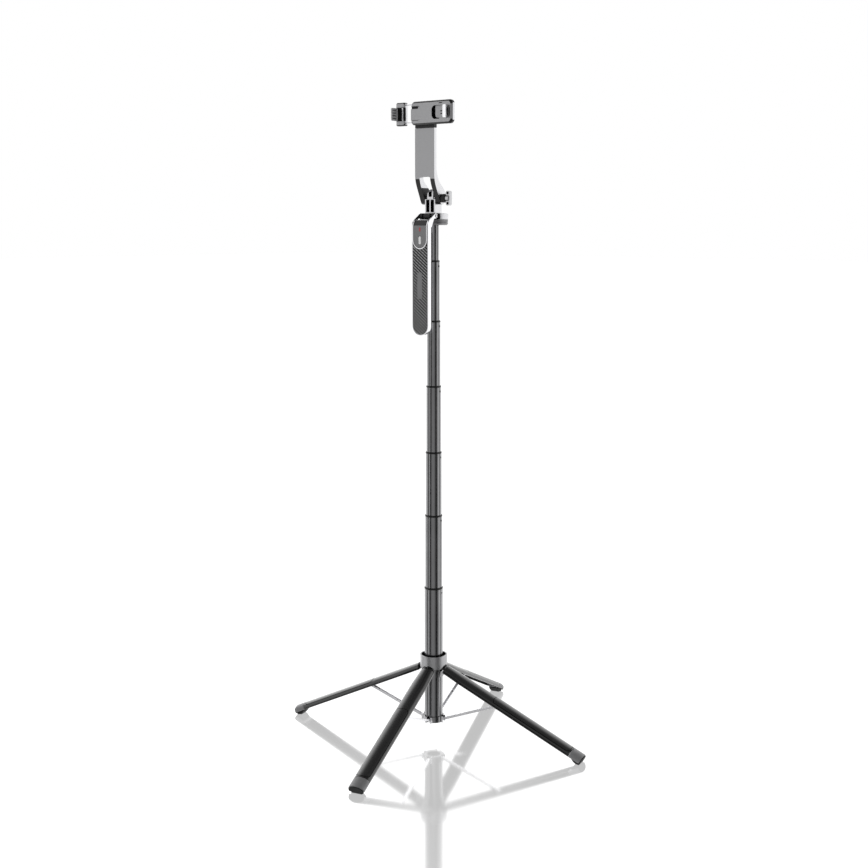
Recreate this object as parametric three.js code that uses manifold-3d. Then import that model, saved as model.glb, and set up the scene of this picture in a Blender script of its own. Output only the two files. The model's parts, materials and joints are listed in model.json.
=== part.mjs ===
// Telescopic selfie stick on four fold-out legs, with a tilting phone clamp and a hanging grip
// that holds a remote shutter. Millimetres, +Z up, origin on the mast axis at floor level.
// The clamp faces -Y and the wing knob is on the +X side.
import * as THREE from 'three';
import { mergeVertices } from 'three/addons/utils/BufferGeometryUtils.js';
import Module from 'manifold-3d';

const wasm = await Module();
wasm.setup();

// ---- driving dimensions -------------------------------------------------------------------
const GAP = 0.3;                                    // running gap between touching pieces
const ROUND = 24;                                   // sides of a turned piece
const SMALL_ROUND = 12;                             // sides of a pin or small boss

// mast: outer diameter and top of each telescoping tube
const TUBE_DIAMETER = [29.2, 27, 25, 23, 21, 18.8, 16];
const TUBE_TOP = [247, 363.8, 464.5, 568.3, 669.3, 761.3, 824];
const TUBE_WALL = 0.65;
const TUBE_1_BOTTOM = 30.5;
const TUBE_LENGTH = 205;                            // of every tube but the first
const BUSH_HEIGHT = 2.4;
const BUSH_LIP = 0.25;

// hub and lower collar
const HINGE_R = 17.2;                               // leg hinge, and strut foot, from the mast axis
const HINGE_Z = 118;
const COLLAR_PIN_Z = 33.1;
const HUB_TOP = 138.8;
const HUB_BOTTOM = 118.6;
const HUB_RADIUS = 21.6;
const HUB_WALL = 2;
const CORE_BORE = 15.2;
const SLEEVE_RADIUS = 16.2;
const CORE_RADIUS = HUB_RADIUS - HUB_WALL - GAP;
const CORE_TOP = 126.5;
const PIN_RADIUS = 1.1;                             // leg hinge pin
const PIN_REACH = 9.2;
const LUG_BOTTOM = 114.5;
const SLEEVE_BOTTOM = 104;

// legs, in their own frame: x along the leg from its hinge, y across, z away from the mast
const LEG_AZIMUTH = { right: 13.68, back: 103.68, left: 193.68, front: -76.32 };
const DROOP = THREE.MathUtils.degToRad(25.1);
const LEG_START = 5;
const LEG_END = 243;
const LEG_HALF_WIDTH = 13.2;
const LEG_CREST = 6.5;
const LEG_SIDE_TOP = -1;
const LEG_UNDERSIDE = -3.5;
const LEG_SIDE_WALL = 1.8;
const LEG_CREST_WALL = 2.3;
const KNUCKLE_HALF_WIDTH = 6;
const KNUCKLE_RADIUS = 2.2;
const PAD_START = 98;
const PAD_END = 240;
const PAD_THICKNESS = 1.2;
const PAD_EDGE = THREE.MathUtils.degToRad(34);      // where the pad's long edges are on the ellipse
const CAP_END = 261.8;
const SOLE_END = 263.1;
const SOLE_HALF = 9;
const SOLE_TAPER_TOP = -7.8;
const SOLE_CONTACT = [245.5, 252.3];                // from the mast axis, on the floor
const STRUT_PIVOT_R = 117;                          // strut's outer pivot, from the mast axis
const STRUT_WIDTH = 5.2;
const STRUT_EYE = 2.1;
const STRUT_PIN = 1;
const STRUT_PIN_REACH = 4.4;

// head
const HEAD_Z = 826;                                 // turning face between collar and base
const COLLAR_RADIUS = 22.2;
const COLLAR_TOP = 835;
const BASE_BOTTOM = 817.3;
const COLLAR_FRONT = 8.8;                           // flat on the collar's front
const GRIP_PIVOT = [13, 831];                       // forward, up
const TILT_PIVOT = [2, 857.4];
const NECK_HALF = 10;
const TONGUE_HALF = 5.7;
const ARM_HALF = 19;
const FORK_HALF = 10.4;
const ARM_FRONT = 21.2;
const ARM_BACK = 16.2;
const ARM_BEND = 884.7;
const ARM_TOP = 961;
const WINDOW_TOP = 889;
const BOLT_RADIUS = 2.5;

// phone clamp
const CLAMP_Z = 982.75;
const CLAMP_HALF_HEIGHT = 17.25;
const CLAMP_LEFT = -20.5;
const CLAMP_RIGHT = 60;
const CLAMP_BACK = 22.2;
const CLAMP_FRONT = 30;
const CLAMP_CORNER = 4;
const SLIDER_LEFT = -50;
const SLIDER_RIGHT = -32;
const ROD_OFFSET = 13.5;
const ROD_RADIUS = 1.2;
const ROD_END = 20;
const BORE_END = 33;
const JAW_HALF_HEIGHT = 9.4;
const JAW_THICKNESS = 2;
const JAW_REACH = 12.4;
const JAW_HINGE_FORWARD = 28.9;
const JAW_HINGE_X = { fixed: 52, sliding: -48.6 };
const POCKET_LEFT = 21;
const POCKET_RIGHT = 56;

// grip and remote
const GRIP_HALF = 16.3;
const GRIP_BACK = 24;
const GRIP_FRONT = 32;
const GRIP_TOP = 822;
const GRIP_BOTTOM = 650;
const GRIP_WALL = 1.4;
const BEZEL_HALF = 14.4;
const BEZEL_BOTTOM = 781;
const REMOTE_HALF = 12.4;
const REMOTE_BOTTOM = 783.2;
const REMOTE_TOP = 825;
const BUTTON_HALF = 2.3;
const BUTTON_Z = [788.4, 800.5];

// ---- finishes -----------------------------------------------------------------------------
const finish = (color, roughness, metalness) => () =>
  new THREE.MeshStandardMaterial({ color, roughness, metalness });
const blackAnodised = finish(0x2a2a2c, 0.35, 0.8);
const blackPlastic = finish(0x18181a, 0.45, 0);
const rubber = finish(0x101010, 0.9, 0);
const satinGrey = finish(0x969698, 0.4, 0.6);
const brightMetal = finish(0xd9dadb, 0.2, 1);
const greyPlastic = finish(0x77777a, 0.5, 0);
const carbonTwill = finish(0x1b1b1d, 0.4, 0.1);
const whitePlastic = finish(0xf2f2f2, 0.4, 0);

// ---- solids -------------------------------------------------------------------------------
// A closed geometry as a solid that can be cut and joined.
function solid(geometry) {
  geometry.deleteAttribute('normal');
  geometry.deleteAttribute('uv');
  const merged = mergeVertices(geometry, 1e-5);
  return new wasm.Manifold(new wasm.Mesh({
    numProp: 3,
    vertProperties: new Float32Array(merged.attributes.position.array),
    triVerts: new Uint32Array(merged.index.array),
  }));
}

function meshGeometry(manifold) {
  const mesh = manifold.getMesh();
  const geometry = new THREE.BufferGeometry();
  geometry.setAttribute('position', new THREE.BufferAttribute(mesh.vertProperties, 3));
  geometry.setIndex(new THREE.BufferAttribute(mesh.triVerts, 1));
  geometry.computeVertexNormals();
  return geometry;
}

const group = new THREE.Group();

function add(parent, name, manifold, material) {
  const mesh = new THREE.Mesh(meshGeometry(manifold), material());
  mesh.name = name;
  parent.add(mesh);
  return mesh;
}

// A box between two corners.
function box(x0, x1, y0, y1, z0, z1) {
  const geometry = new THREE.BoxGeometry(x1 - x0, y1 - y0, z1 - z0);
  geometry.translate((x0 + x1) / 2, (y0 + y1) / 2, (z0 + z1) / 2);
  return solid(geometry);
}

// A ring about the Z axis.
function ring(inner, outer, z0, z1, sides = ROUND) {
  const profile = [[inner, z0], [outer, z0], [outer, z1], [inner, z1], [inner, z0]];
  const geometry = new THREE.LatheGeometry(profile.map(([r, z]) => new THREE.Vector2(r, z)), sides);
  geometry.rotateX(Math.PI / 2);
  return solid(geometry);
}

// A round bar along an axis, from one end to the other, centred on the point given.
function bar(axis, radius, from, to, centre, sides = SMALL_ROUND) {
  const geometry = new THREE.CylinderGeometry(radius, radius, to - from, sides);
  if (axis === 'x') {
    geometry.rotateZ(-Math.PI / 2);
    geometry.translate((from + to) / 2, centre[0], centre[1]);
  } else if (axis === 'y') {
    geometry.translate(centre[0], (from + to) / 2, centre[1]);
  } else {
    geometry.rotateX(Math.PI / 2);
    geometry.translate(centre[0], centre[1], (from + to) / 2);
  }
  return solid(geometry);
}

function extrude(shape, depth, curveSegments) {
  return new THREE.ExtrudeGeometry(shape, { depth, bevelEnabled: false, curveSegments });
}

// A side outline of (forward, up) points, extruded across from x0 to x1. Forward is -Y.
function sidePlate(points, x0, x1) {
  const shape = new THREE.Shape(points.map(([forward, up]) => new THREE.Vector2(-forward, up)));
  const geometry = extrude(shape, x1 - x0);
  geometry.applyMatrix4(new THREE.Matrix4().set(0, 0, 1, x0, 1, 0, 0, 0, 0, 1, 0, 0, 0, 0, 0, 1));
  return solid(geometry);
}

// A front outline of (x, up), extruded between two forward distances.
function frontPlate(shape, back, front, curveSegments = 6) {
  const geometry = extrude(shape, front - back, curveSegments);
  geometry.rotateX(Math.PI / 2);
  geometry.translate(0, -back, 0);
  return solid(geometry);
}

// A box given by its forward distances rather than by Y.
const block = (x0, x1, back, front, z0, z1) => box(x0, x1, -front, -back, z0, z1);

// A rectangle with rounded corners, of the radius given at the lower and upper ends.
function roundedRectangle(x0, x1, z0, z1, lower, upper = lower) {
  const shape = new THREE.Shape();
  shape.moveTo(x0 + lower, z0);
  shape.lineTo(x1 - lower, z0);
  shape.absarc(x1 - lower, z0 + lower, lower, -Math.PI / 2, 0);
  shape.lineTo(x1, z1 - upper);
  shape.absarc(x1 - upper, z1 - upper, upper, 0, Math.PI / 2);
  shape.lineTo(x0 + upper, z1);
  shape.absarc(x0 + upper, z1 - upper, upper, Math.PI / 2, Math.PI);
  shape.lineTo(x0, z0 + lower);
  shape.absarc(x0 + lower, z0 + lower, lower, Math.PI, Math.PI * 1.5);
  return shape;
}

// ---- mast ---------------------------------------------------------------------------------
TUBE_DIAMETER.forEach((diameter, i) => {
  const top = TUBE_TOP[i];
  const bottom = i ? top - TUBE_LENGTH : TUBE_1_BOTTOM;
  const tube = ring(diameter / 2 - TUBE_WALL, diameter / 2, bottom, top);
  add(group, `mast_tube_${i + 1}`, tube, blackAnodised);
  const inner = TUBE_DIAMETER[i + 1];
  if (inner) {
    const foot = top + GAP;
    const bush = ring(inner / 2 + GAP, diameter / 2 + BUSH_LIP, foot, foot + BUSH_HEIGHT);
    add(group, `tube_bush_${i + 1}`, bush, blackPlastic);
  }
});

// ---- hub and lower collar -----------------------------------------------------------------
// Repeats a cutting or joining solid at the four leg azimuths.
function atLegs(target, method, makeTool) {
  return Object.values(LEG_AZIMUTH).reduce(
    (result, azimuth) => result[method](makeTool().rotate([0, 0, azimuth])), target);
}

function hubRing() {
  const floorZ = 127;
  const floorThickness = 2.5;
  const profile = [
    [CORE_BORE, floorZ], [HUB_RADIUS - HUB_WALL, floorZ], [HUB_RADIUS - HUB_WALL, HUB_BOTTOM],
    [HUB_RADIUS, HUB_BOTTOM], [HUB_RADIUS, HUB_TOP - 0.6], [HUB_RADIUS - 0.6, HUB_TOP],
    [HUB_RADIUS - HUB_WALL, HUB_TOP], [HUB_RADIUS - HUB_WALL, floorZ + floorThickness],
    [CORE_BORE, floorZ + floorThickness], [CORE_BORE, floorZ],
  ];
  const geometry = new THREE.LatheGeometry(profile.map(([r, z]) => new THREE.Vector2(r, z)), ROUND);
  geometry.rotateX(Math.PI / 2);
  const scallopRadius = 12.5;
  const scallopTop = 124.6;
  const makeScallop = () =>
    bar('x', scallopRadius, CORE_BORE + 1, HUB_RADIUS + 3, [0, scallopTop - scallopRadius], ROUND);
  return atLegs(solid(geometry), 'subtract', makeScallop);
}

function hubCore() {
  const slot = KNUCKLE_HALF_WIDTH + 0.4;
  const knuckleTop = 121.5;
  const slotFloor = 114.2;
  const collar = ring(CORE_BORE, CORE_RADIUS, LUG_BOTTOM, CORE_TOP);
  const sleeve = ring(CORE_BORE, SLEEVE_RADIUS, SLEEVE_BOTTOM, CORE_TOP);
  const slotted = atLegs(collar.add(sleeve), 'subtract',
    () => box(10, 30, -slot, slot, slotFloor, knuckleTop));
  return atLegs(slotted, 'subtract',
    () => bar('y', PIN_RADIUS + GAP, -PIN_REACH - GAP, PIN_REACH + GAP, [HINGE_R, HINGE_Z]));
}

// A plug under the mast, with a slot at each leg that the strut's eye enters from below and the folded
// strut stands in.
function lowerCollar() {
  const bottom = 28.6;
  const top = 38;
  const bore = TUBE_DIAMETER[0] / 2 + GAP;
  const spigotBore = 11;
  const spigot = TUBE_DIAMETER[0] / 2 - TUBE_WALL - GAP;
  const lugHalf = 5.6;
  const lugReach = 19;
  const slotStart = HINGE_R - STRUT_EYE - 0.6;
  const slotHalf = STRUT_WIDTH / 2 + 0.4;
  const pinSlotHalf = STRUT_PIN + GAP;
  const body = ring(bore, 16.4, bottom, top)
    .add(ring(spigotBore, bore + 1, bottom, TUBE_1_BOTTOM - GAP))
    .add(ring(spigotBore, spigot, bottom, top));
  const withLugs = atLegs(body, 'add',
    () => box(bore + 1, lugReach, -lugHalf, lugHalf, bottom, top));
  const eyeSlots = atLegs(withLugs, 'subtract',
    () => box(slotStart, 25, -slotHalf, slotHalf, bottom - 1, top + 1));
  return atLegs(eyeSlots, 'subtract', () => box(
    HINGE_R - pinSlotHalf - 0.4, HINGE_R + pinSlotHalf, -STRUT_PIN_REACH - GAP, STRUT_PIN_REACH + GAP,
    bottom - 1, COLLAR_PIN_Z + pinSlotHalf));
}

add(group, 'hub_ring', hubRing(), satinGrey);
add(group, 'hub_core', hubCore(), blackPlastic);
add(group, 'lower_collar', lowerCollar(), blackPlastic);

// ---- legs ---------------------------------------------------------------------------------
// A cross-section in the leg's (y, z), extruded along the leg from one distance to another.
function alongLeg(points, from, to) {
  const shape = new THREE.Shape(points.map(([y, z]) => new THREE.Vector2(y, z)));
  const geometry = extrude(shape, to - from);
  geometry.applyMatrix4(new THREE.Matrix4().set(0, 0, 1, from, 1, 0, 0, 0, 0, 1, 0, 0, 0, 0, 0, 1));
  return solid(geometry);
}

// A side outline of the leg's (x, z), extruded across it.
function acrossLeg(points, half) {
  const shape = new THREE.Shape(points.map(([x, z]) => new THREE.Vector2(x, z)));
  const geometry = extrude(shape, 2 * half);
  geometry.rotateX(Math.PI / 2);
  geometry.translate(0, half, 0);
  return solid(geometry);
}

// Points on the crown of the leg, from one side to the other, a distance inside its surface.
function crown(inset, sideInset, fromAngle, steps) {
  const height = LEG_CREST - LEG_SIDE_TOP - inset;
  const half = LEG_HALF_WIDTH - sideInset;
  return Array.from({ length: steps + 1 }, (_, i) => {
    const angle = fromAngle + (Math.PI - 2 * fromAngle) * (i / steps);
    return [half * Math.cos(angle), LEG_SIDE_TOP + height * Math.sin(angle)];
  });
}

// A point of the open leg's upright plane (distance from the mast, height) in the leg's frame.
function inLeg(r, z) {
  const across = r - HINGE_R;
  const up = z - HINGE_Z;
  return [
    across * Math.cos(DROOP) - up * Math.sin(DROOP),
    across * Math.sin(DROOP) + up * Math.cos(DROOP),
  ];
}

const CROWN_STEPS = 10;
const PAD_STEPS = 6;
const strutPivot = (STRUT_PIVOT_R - HINGE_R) / Math.cos(DROOP);
const bandPoints = (top, bottom, angle, steps) => [
  ...crown(top, top, angle, steps),
  ...crown(bottom, bottom, angle, steps).reverse(),
];

function legShell() {
  const outer = [
    [LEG_HALF_WIDTH, LEG_UNDERSIDE], ...crown(0, 0, 0, CROWN_STEPS), [-LEG_HALF_WIDTH, LEG_UNDERSIDE],
  ];
  const innerHalf = LEG_HALF_WIDTH - LEG_SIDE_WALL;
  const inner = [
    [-innerHalf, LEG_UNDERSIDE],
    ...crown(LEG_CREST_WALL, LEG_SIDE_WALL, 0, CROWN_STEPS).reverse(),
    [innerHalf, LEG_UNDERSIDE],
  ];
  const shell = alongLeg([...outer, ...inner], LEG_START, LEG_END - GAP);
  const ceiling = LEG_CREST - LEG_CREST_WALL + 0.4;
  const half = KNUCKLE_HALF_WIDTH;
  const endWall = alongLeg([
    ...crown(1, 1, 0.2, CROWN_STEPS), [-9.5, LEG_UNDERSIDE + 2.5], [9.5, LEG_UNDERSIDE + 2.5],
  ], LEG_START + 0.01, LEG_START + 1.8);
  const knuckle = acrossLeg([
    [0, -KNUCKLE_RADIUS + 0.2], [2.4, -0.6], [16, -0.6], [16, ceiling], [3, ceiling], [0, 2],
  ], half).add(bar('y', KNUCKLE_RADIUS, -half, half, [0, 0]));
  const ribInner = STRUT_WIDTH / 2 + 0.5;
  const ribOuter = ribInner + 1.8;
  const ribs = [-1, 1].map((side) => {
    const [near, far] = side > 0 ? [ribInner, ribOuter] : [-ribOuter, -ribInner];
    return box(strutPivot - 3.5, strutPivot + 3.5, near, far, -2, ceiling);
  });
  const solids = shell.add(endWall).add(knuckle).add(ribs[0]).add(ribs[1]);
  const padSeat = alongLeg(
    bandPoints(-1, PAD_THICKNESS + 0.25, PAD_EDGE - 0.04, PAD_STEPS), PAD_START - GAP, PAD_END + GAP);
  return solids
    .subtract(padSeat)
    .subtract(bar('y', PIN_RADIUS + GAP, -half - 1, half + 1, [0, 0]))
    .subtract(bar('y', STRUT_PIN + GAP, -STRUT_PIN_REACH - GAP, STRUT_PIN_REACH + GAP, [strutPivot, 0]));
}

const legPad = () =>
  alongLeg(bandPoints(-0.1, PAD_THICKNESS - 0.1, PAD_EDGE, PAD_STEPS), PAD_START, PAD_END);

// The foot's grey cap ends square to the leg. Its rubber boot closes that end and has a wedge under
// the cap, whose lower face is level when the leg is open. The wedge narrows towards the mast, so that
// the four clear each other when the legs are folded.
const footCap = () => alongLeg([
  [LEG_HALF_WIDTH, LEG_UNDERSIDE], ...crown(0, 0, 0, CROWN_STEPS), [-LEG_HALF_WIDTH, LEG_UNDERSIDE],
], LEG_END, CAP_END);

function footSole() {
  const top = LEG_UNDERSIDE - GAP;
  const end = CAP_END + GAP;
  const plug = alongLeg([
    [LEG_HALF_WIDTH - 1, top - 1], ...crown(1, 1, 0, CROWN_STEPS), [1 - LEG_HALF_WIDTH, top - 1],
  ], end, SOLE_END);
  const floorAt = (r) => inLeg(r, 0);
  const wedge = acrossLeg([
    [CAP_END - 13, top], [CAP_END - 14, top - 1.5], floorAt(SOLE_CONTACT[0]), floorAt(SOLE_CONTACT[1]),
    [SOLE_END, top - 1], [SOLE_END, top],
  ], SOLE_HALF);
  const taper = alongLeg([
    [SOLE_HALF, top + 1], [-SOLE_HALF, top + 1], [-SOLE_HALF, SOLE_TAPER_TOP], [-6, SOLE_TAPER_TOP - 3],
    [6, SOLE_TAPER_TOP - 3], [SOLE_HALF, SOLE_TAPER_TOP],
  ], CAP_END - 20, SOLE_END + 10);
  return plug.add(wedge.intersect(taper));
}

// A light channel bar with an eye and a cross pin at each end; x runs from the outer pivot.
function strut(length) {
  const half = STRUT_WIDTH / 2;
  const web = box(0, length, -half, half, -1.7, 1.7);
  const groove = box(5, length - 5, -half + 0.9, half - 0.9, -3, 0.9);
  let result = web.subtract(groove);
  for (const x of [0, length]) {
    result = result.add(bar('y', STRUT_EYE, -half, half, [x, 0]));
    result = result.add(bar('y', STRUT_PIN, -STRUT_PIN_REACH, STRUT_PIN_REACH, [x, 0], 12));
  }
  return result;
}

const strutOuterZ = HINGE_Z - strutPivot * Math.sin(DROOP);
const strutRun = STRUT_PIVOT_R - HINGE_R;
const strutRise = strutOuterZ - COLLAR_PIN_Z;
const strutLength = Math.hypot(strutRun, strutRise);

for (const [side, azimuth] of Object.entries(LEG_AZIMUTH)) {
  const plane = new THREE.Group();
  plane.rotation.z = THREE.MathUtils.degToRad(azimuth);
  group.add(plane);

  const leg = new THREE.Group();
  leg.position.set(HINGE_R, 0, HINGE_Z);
  leg.rotation.y = DROOP;
  plane.add(leg);
  add(leg, `leg_shell_${side}`, legShell(), blackPlastic);
  add(leg, `leg_pad_${side}`, legPad(), blackPlastic);
  add(leg, `foot_cap_${side}`, footCap(), greyPlastic);
  add(leg, `foot_sole_${side}`, footSole(), rubber);
  add(leg, `leg_pin_${side}`, bar('y', PIN_RADIUS, -PIN_REACH, PIN_REACH, [0, 0]), brightMetal);

  const strutGroup = new THREE.Group();
  strutGroup.position.set(STRUT_PIVOT_R, 0, strutOuterZ);
  strutGroup.rotation.y = Math.PI - Math.atan2(strutRise, strutRun);
  plane.add(strutGroup);
  add(strutGroup, `strut_${side}`, strut(strutLength), brightMetal);
}

// ---- head ---------------------------------------------------------------------------------
function headBase() {
  const profile = [
    [8.3, BASE_BOTTOM], [COLLAR_RADIUS - 1.6, BASE_BOTTOM], [COLLAR_RADIUS - 0.2, BASE_BOTTOM + 1.6],
    [COLLAR_RADIUS - 0.2, HEAD_Z - GAP], [8.3, HEAD_Z - GAP], [8.3, BASE_BOTTOM],
  ];
  const geometry = new THREE.LatheGeometry(profile.map(([r, z]) => new THREE.Vector2(r, z)), ROUND);
  geometry.rotateX(Math.PI / 2);
  return solid(geometry);
}

function headCollar() {
  const studRadius = 6.4;
  const profile = [
    [0, 806], [studRadius, 806], [studRadius, HEAD_Z], [COLLAR_RADIUS, HEAD_Z],
    [COLLAR_RADIUS, COLLAR_TOP - 1], [COLLAR_RADIUS - 1, COLLAR_TOP], [0, COLLAR_TOP],
  ];
  const geometry = new THREE.LatheGeometry(profile.map(([r, z]) => new THREE.Vector2(r, z)), ROUND);
  geometry.rotateX(Math.PI / 2);
  return solid(geometry).subtract(block(-30, 30, COLLAR_FRONT, 30, HEAD_Z - 5, COLLAR_TOP + 5));
}

function hingeBlock() {
  const [forward, up] = GRIP_PIVOT;
  const half = GRIP_HALF - GRIP_WALL - 0.5;
  const outline = [
    [COLLAR_FRONT + GAP, HEAD_Z + GAP], [forward + 3.4, HEAD_Z + GAP], [forward + 4.2, up],
    [forward + 2.4, COLLAR_TOP], [COLLAR_FRONT + GAP, COLLAR_TOP],
  ];
  return sidePlate(outline, -half, half)
    .subtract(bar('x', PIN_RADIUS + 0.4 + GAP, -half - 1, half + 1, [-forward, up]));
}

function neck() {
  const foot = COLLAR_TOP + GAP;
  const shoulder = sidePlate([[-7, foot], [8.5, foot], [8.5, 856], [6.5, 858], [-5, 858], [-7, 856]],
    -NECK_HALF, NECK_HALF);
  const tongue = sidePlate([[-6, 850], [8.2, 850], [8.2, 866], [5.5, 871], [-2, 871], [-6, 866]],
    -TONGUE_HALF, TONGUE_HALF);
  const boss = bar('x', 5, -NECK_HALF, NECK_HALF, [-TILT_PIVOT[0], TILT_PIVOT[1]]);
  let result = shoulder.add(tongue).add(boss);
  result = result.subtract(block(-7.4, -1.4, 5.6, 12, foot + 1.5, 855));
  result = result.subtract(block(1.4, 7.4, 5.6, 12, foot + 1.5, 855));
  result = result.subtract(block(-3.3, 3.3, 6, 12, 860, 868.5));
  return result.subtract(
    bar('x', BOLT_RADIUS + GAP, -NECK_HALF - 1, NECK_HALF + 1, [-TILT_PIVOT[0], TILT_PIVOT[1]]));
}

function arm() {
  const outline = [
    [ARM_FRONT, ARM_TOP], [ARM_BACK, ARM_TOP], [ARM_BACK, 900], [13.4, 888], [8, 880], [1, 874],
    [-5, 867], [-7.4, 860], [-6.6, 853], [-2.4, 849], [3.6, 848.4], [7, 851], [ARM_FRONT, ARM_BEND],
  ];
  const plate = sidePlate(outline, -ARM_HALF, ARM_HALF);
  const window = frontPlate(roundedRectangle(-FORK_HALF, FORK_HALF, 820, WINDOW_TOP, 0.5, 2.5), -20, 40, 3);
  return plate
    .subtract(window)
    .subtract(bar('x', BOLT_RADIUS + GAP, -ARM_HALF - 1, ARM_HALF + 1, [-TILT_PIVOT[0], TILT_PIVOT[1]]));
}

const tiltCentre = [-TILT_PIVOT[0], TILT_PIVOT[1]];
const BARREL_END = 27.7;
const WING = { from: 28, to: 35, half: 11, thickness: 3 };

function tiltBolt() {
  const shank = bar('x', BOLT_RADIUS, -ARM_HALF - 1, WING.from + 3, tiltCentre);
  const head = bar('x', 4.6, -ARM_HALF - 3, -ARM_HALF - GAP, tiltCentre, 6);
  return shank.add(head);
}

function knobBarrel() {
  const sleeve = bar('x', 6.5, ARM_HALF + GAP, BARREL_END, tiltCentre, 20);
  return sleeve.subtract(bar('x', BOLT_RADIUS + GAP, ARM_HALF, BARREL_END + 1, tiltCentre));
}

function wingKnob() {
  const [forward, up] = TILT_PIVOT;
  const t = WING.thickness;
  const shape = roundedRectangle(WING.from, WING.to, up - WING.half, up + WING.half, 2.4);
  const wings = frontPlate(shape, forward - t, forward + t, 3);
  const hub = bar('x', 5, WING.from, WING.to - 1.4, tiltCentre, 20);
  return wings.add(hub)
    .subtract(bar('x', BOLT_RADIUS + GAP, WING.from - 1, WING.from + 3 + GAP, tiltCentre));
}

const gripCentre = [-GRIP_PIVOT[0], GRIP_PIVOT[1]];
add(group, 'head_base', headBase(), blackPlastic);
add(group, 'head_collar', headCollar(), brightMetal);
add(group, 'hinge_block', hingeBlock(), blackPlastic);
add(group, 'grip_pin', bar('x', 1.5, -17.4, 17.4, gripCentre), brightMetal);
add(group, 'neck', neck(), satinGrey);
add(group, 'arm', arm(), satinGrey);
add(group, 'tilt_bolt', tiltBolt(), brightMetal);
add(group, 'knob_barrel', knobBarrel(), blackPlastic);
add(group, 'wing_knob', wingKnob(), brightMetal);

// ---- phone clamp --------------------------------------------------------------------------
const STUD_RADIUS = 5;

function clampMount() {
  const plate = block(-ARM_HALF + 0.4, ARM_HALF - 0.4, ARM_BACK - 1.4, CLAMP_BACK - GAP, ARM_TOP + GAP, 993);
  return plate.add(bar('y', STUD_RADIUS, -CLAMP_BACK - 2.6, -CLAMP_BACK + 1, [0, CLAMP_Z], 24));
}

function clampBody() {
  const low = CLAMP_Z - CLAMP_HALF_HEIGHT;
  const high = CLAMP_Z + CLAMP_HALF_HEIGHT;
  const plate = frontPlate(
    roundedRectangle(CLAMP_LEFT, CLAMP_RIGHT, low, high, CLAMP_CORNER), CLAMP_BACK, CLAMP_FRONT, 4);
  const pocketHalf = JAW_HALF_HEIGHT + 0.5;
  const pocket = frontPlate(
    roundedRectangle(POCKET_LEFT, POCKET_RIGHT, CLAMP_Z - pocketHalf, CLAMP_Z + pocketHalf, 4), 24.2, 40, 4);
  const tongue = block(POCKET_LEFT + 6, 47, 24, 27.3, CLAMP_Z - pocketHalf - 1, CLAMP_Z + pocketHalf + 1);
  const recess = frontPlate(
    roundedRectangle(CLAMP_LEFT - 20, -2, CLAMP_Z - pocketHalf, CLAMP_Z + pocketHalf, 4), 28, 40, 4);
  let result = plate.subtract(pocket).add(tongue).subtract(recess);
  for (const offset of [-ROD_OFFSET, ROD_OFFSET]) {
    const half = ROD_RADIUS + 0.5;
    const z = CLAMP_Z + offset;
    result = result.subtract(block(CLAMP_LEFT - 1, BORE_END, 26 - half, 26 + half, z - half, z + half));
  }
  result = result.subtract(bar('y', STUD_RADIUS + GAP, -CLAMP_BACK - 2.9, -CLAMP_BACK + 1, [0, CLAMP_Z], 24));
  const jawPin = bar('z', 1, CLAMP_Z - pocketHalf - 1, CLAMP_Z + pocketHalf + 1,
    [JAW_HINGE_X.fixed, -JAW_HINGE_FORWARD], 10);
  return result.add(jawPin);
}

function jawSlider() {
  const low = CLAMP_Z - CLAMP_HALF_HEIGHT;
  const high = CLAMP_Z + CLAMP_HALF_HEIGHT;
  const pocketHalf = JAW_HALF_HEIGHT + 0.5;
  const plate = frontPlate(
    roundedRectangle(SLIDER_LEFT, SLIDER_RIGHT, low, high, 2.5), CLAMP_BACK, CLAMP_FRONT, 3);
  let result = plate.subtract(
    block(SLIDER_LEFT - 1, SLIDER_RIGHT + 1, 27.3, 40, CLAMP_Z - pocketHalf, CLAMP_Z + pocketHalf));
  for (const offset of [-ROD_OFFSET, ROD_OFFSET]) {
    result = result.add(bar('x', ROD_RADIUS, SLIDER_RIGHT - 4, ROD_END, [-26, CLAMP_Z + offset], 10));
  }
  const jawPin = bar('z', 1, CLAMP_Z - pocketHalf - 1, CLAMP_Z + pocketHalf + 1,
    [JAW_HINGE_X.sliding, -JAW_HINGE_FORWARD], 10);
  return result.add(jawPin);
}

// A flap with a knuckle round its pin, standing forward when it is open.
function jaw(x) {
  const half = JAW_HALF_HEIGHT;
  const flap = block(x - JAW_THICKNESS / 2, x + JAW_THICKNESS / 2, JAW_HINGE_FORWARD,
    JAW_HINGE_FORWARD + JAW_REACH, CLAMP_Z - half, CLAMP_Z + half);
  const knuckle = bar('z', 1.55, CLAMP_Z - half, CLAMP_Z + half, [x, -JAW_HINGE_FORWARD], 16);
  const bore = bar('z', 1.25, CLAMP_Z - half - 1, CLAMP_Z + half + 1, [x, -JAW_HINGE_FORWARD], 16);
  return flap.add(knuckle).subtract(bore);
}

add(group, 'clamp_mount', clampMount(), blackPlastic);
add(group, 'clamp_body', clampBody(), satinGrey);
add(group, 'jaw_slider', jawSlider(), satinGrey);
add(group, 'fixed_jaw', jaw(JAW_HINGE_X.fixed), brightMetal);
add(group, 'sliding_jaw', jaw(JAW_HINGE_X.sliding), rubber);

// ---- grip and remote ----------------------------------------------------------------------
const shield = (inset, top) => roundedRectangle(
  -BEZEL_HALF + inset, BEZEL_HALF - inset, BEZEL_BOTTOM + inset, top, BEZEL_HALF - inset, 1);

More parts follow.
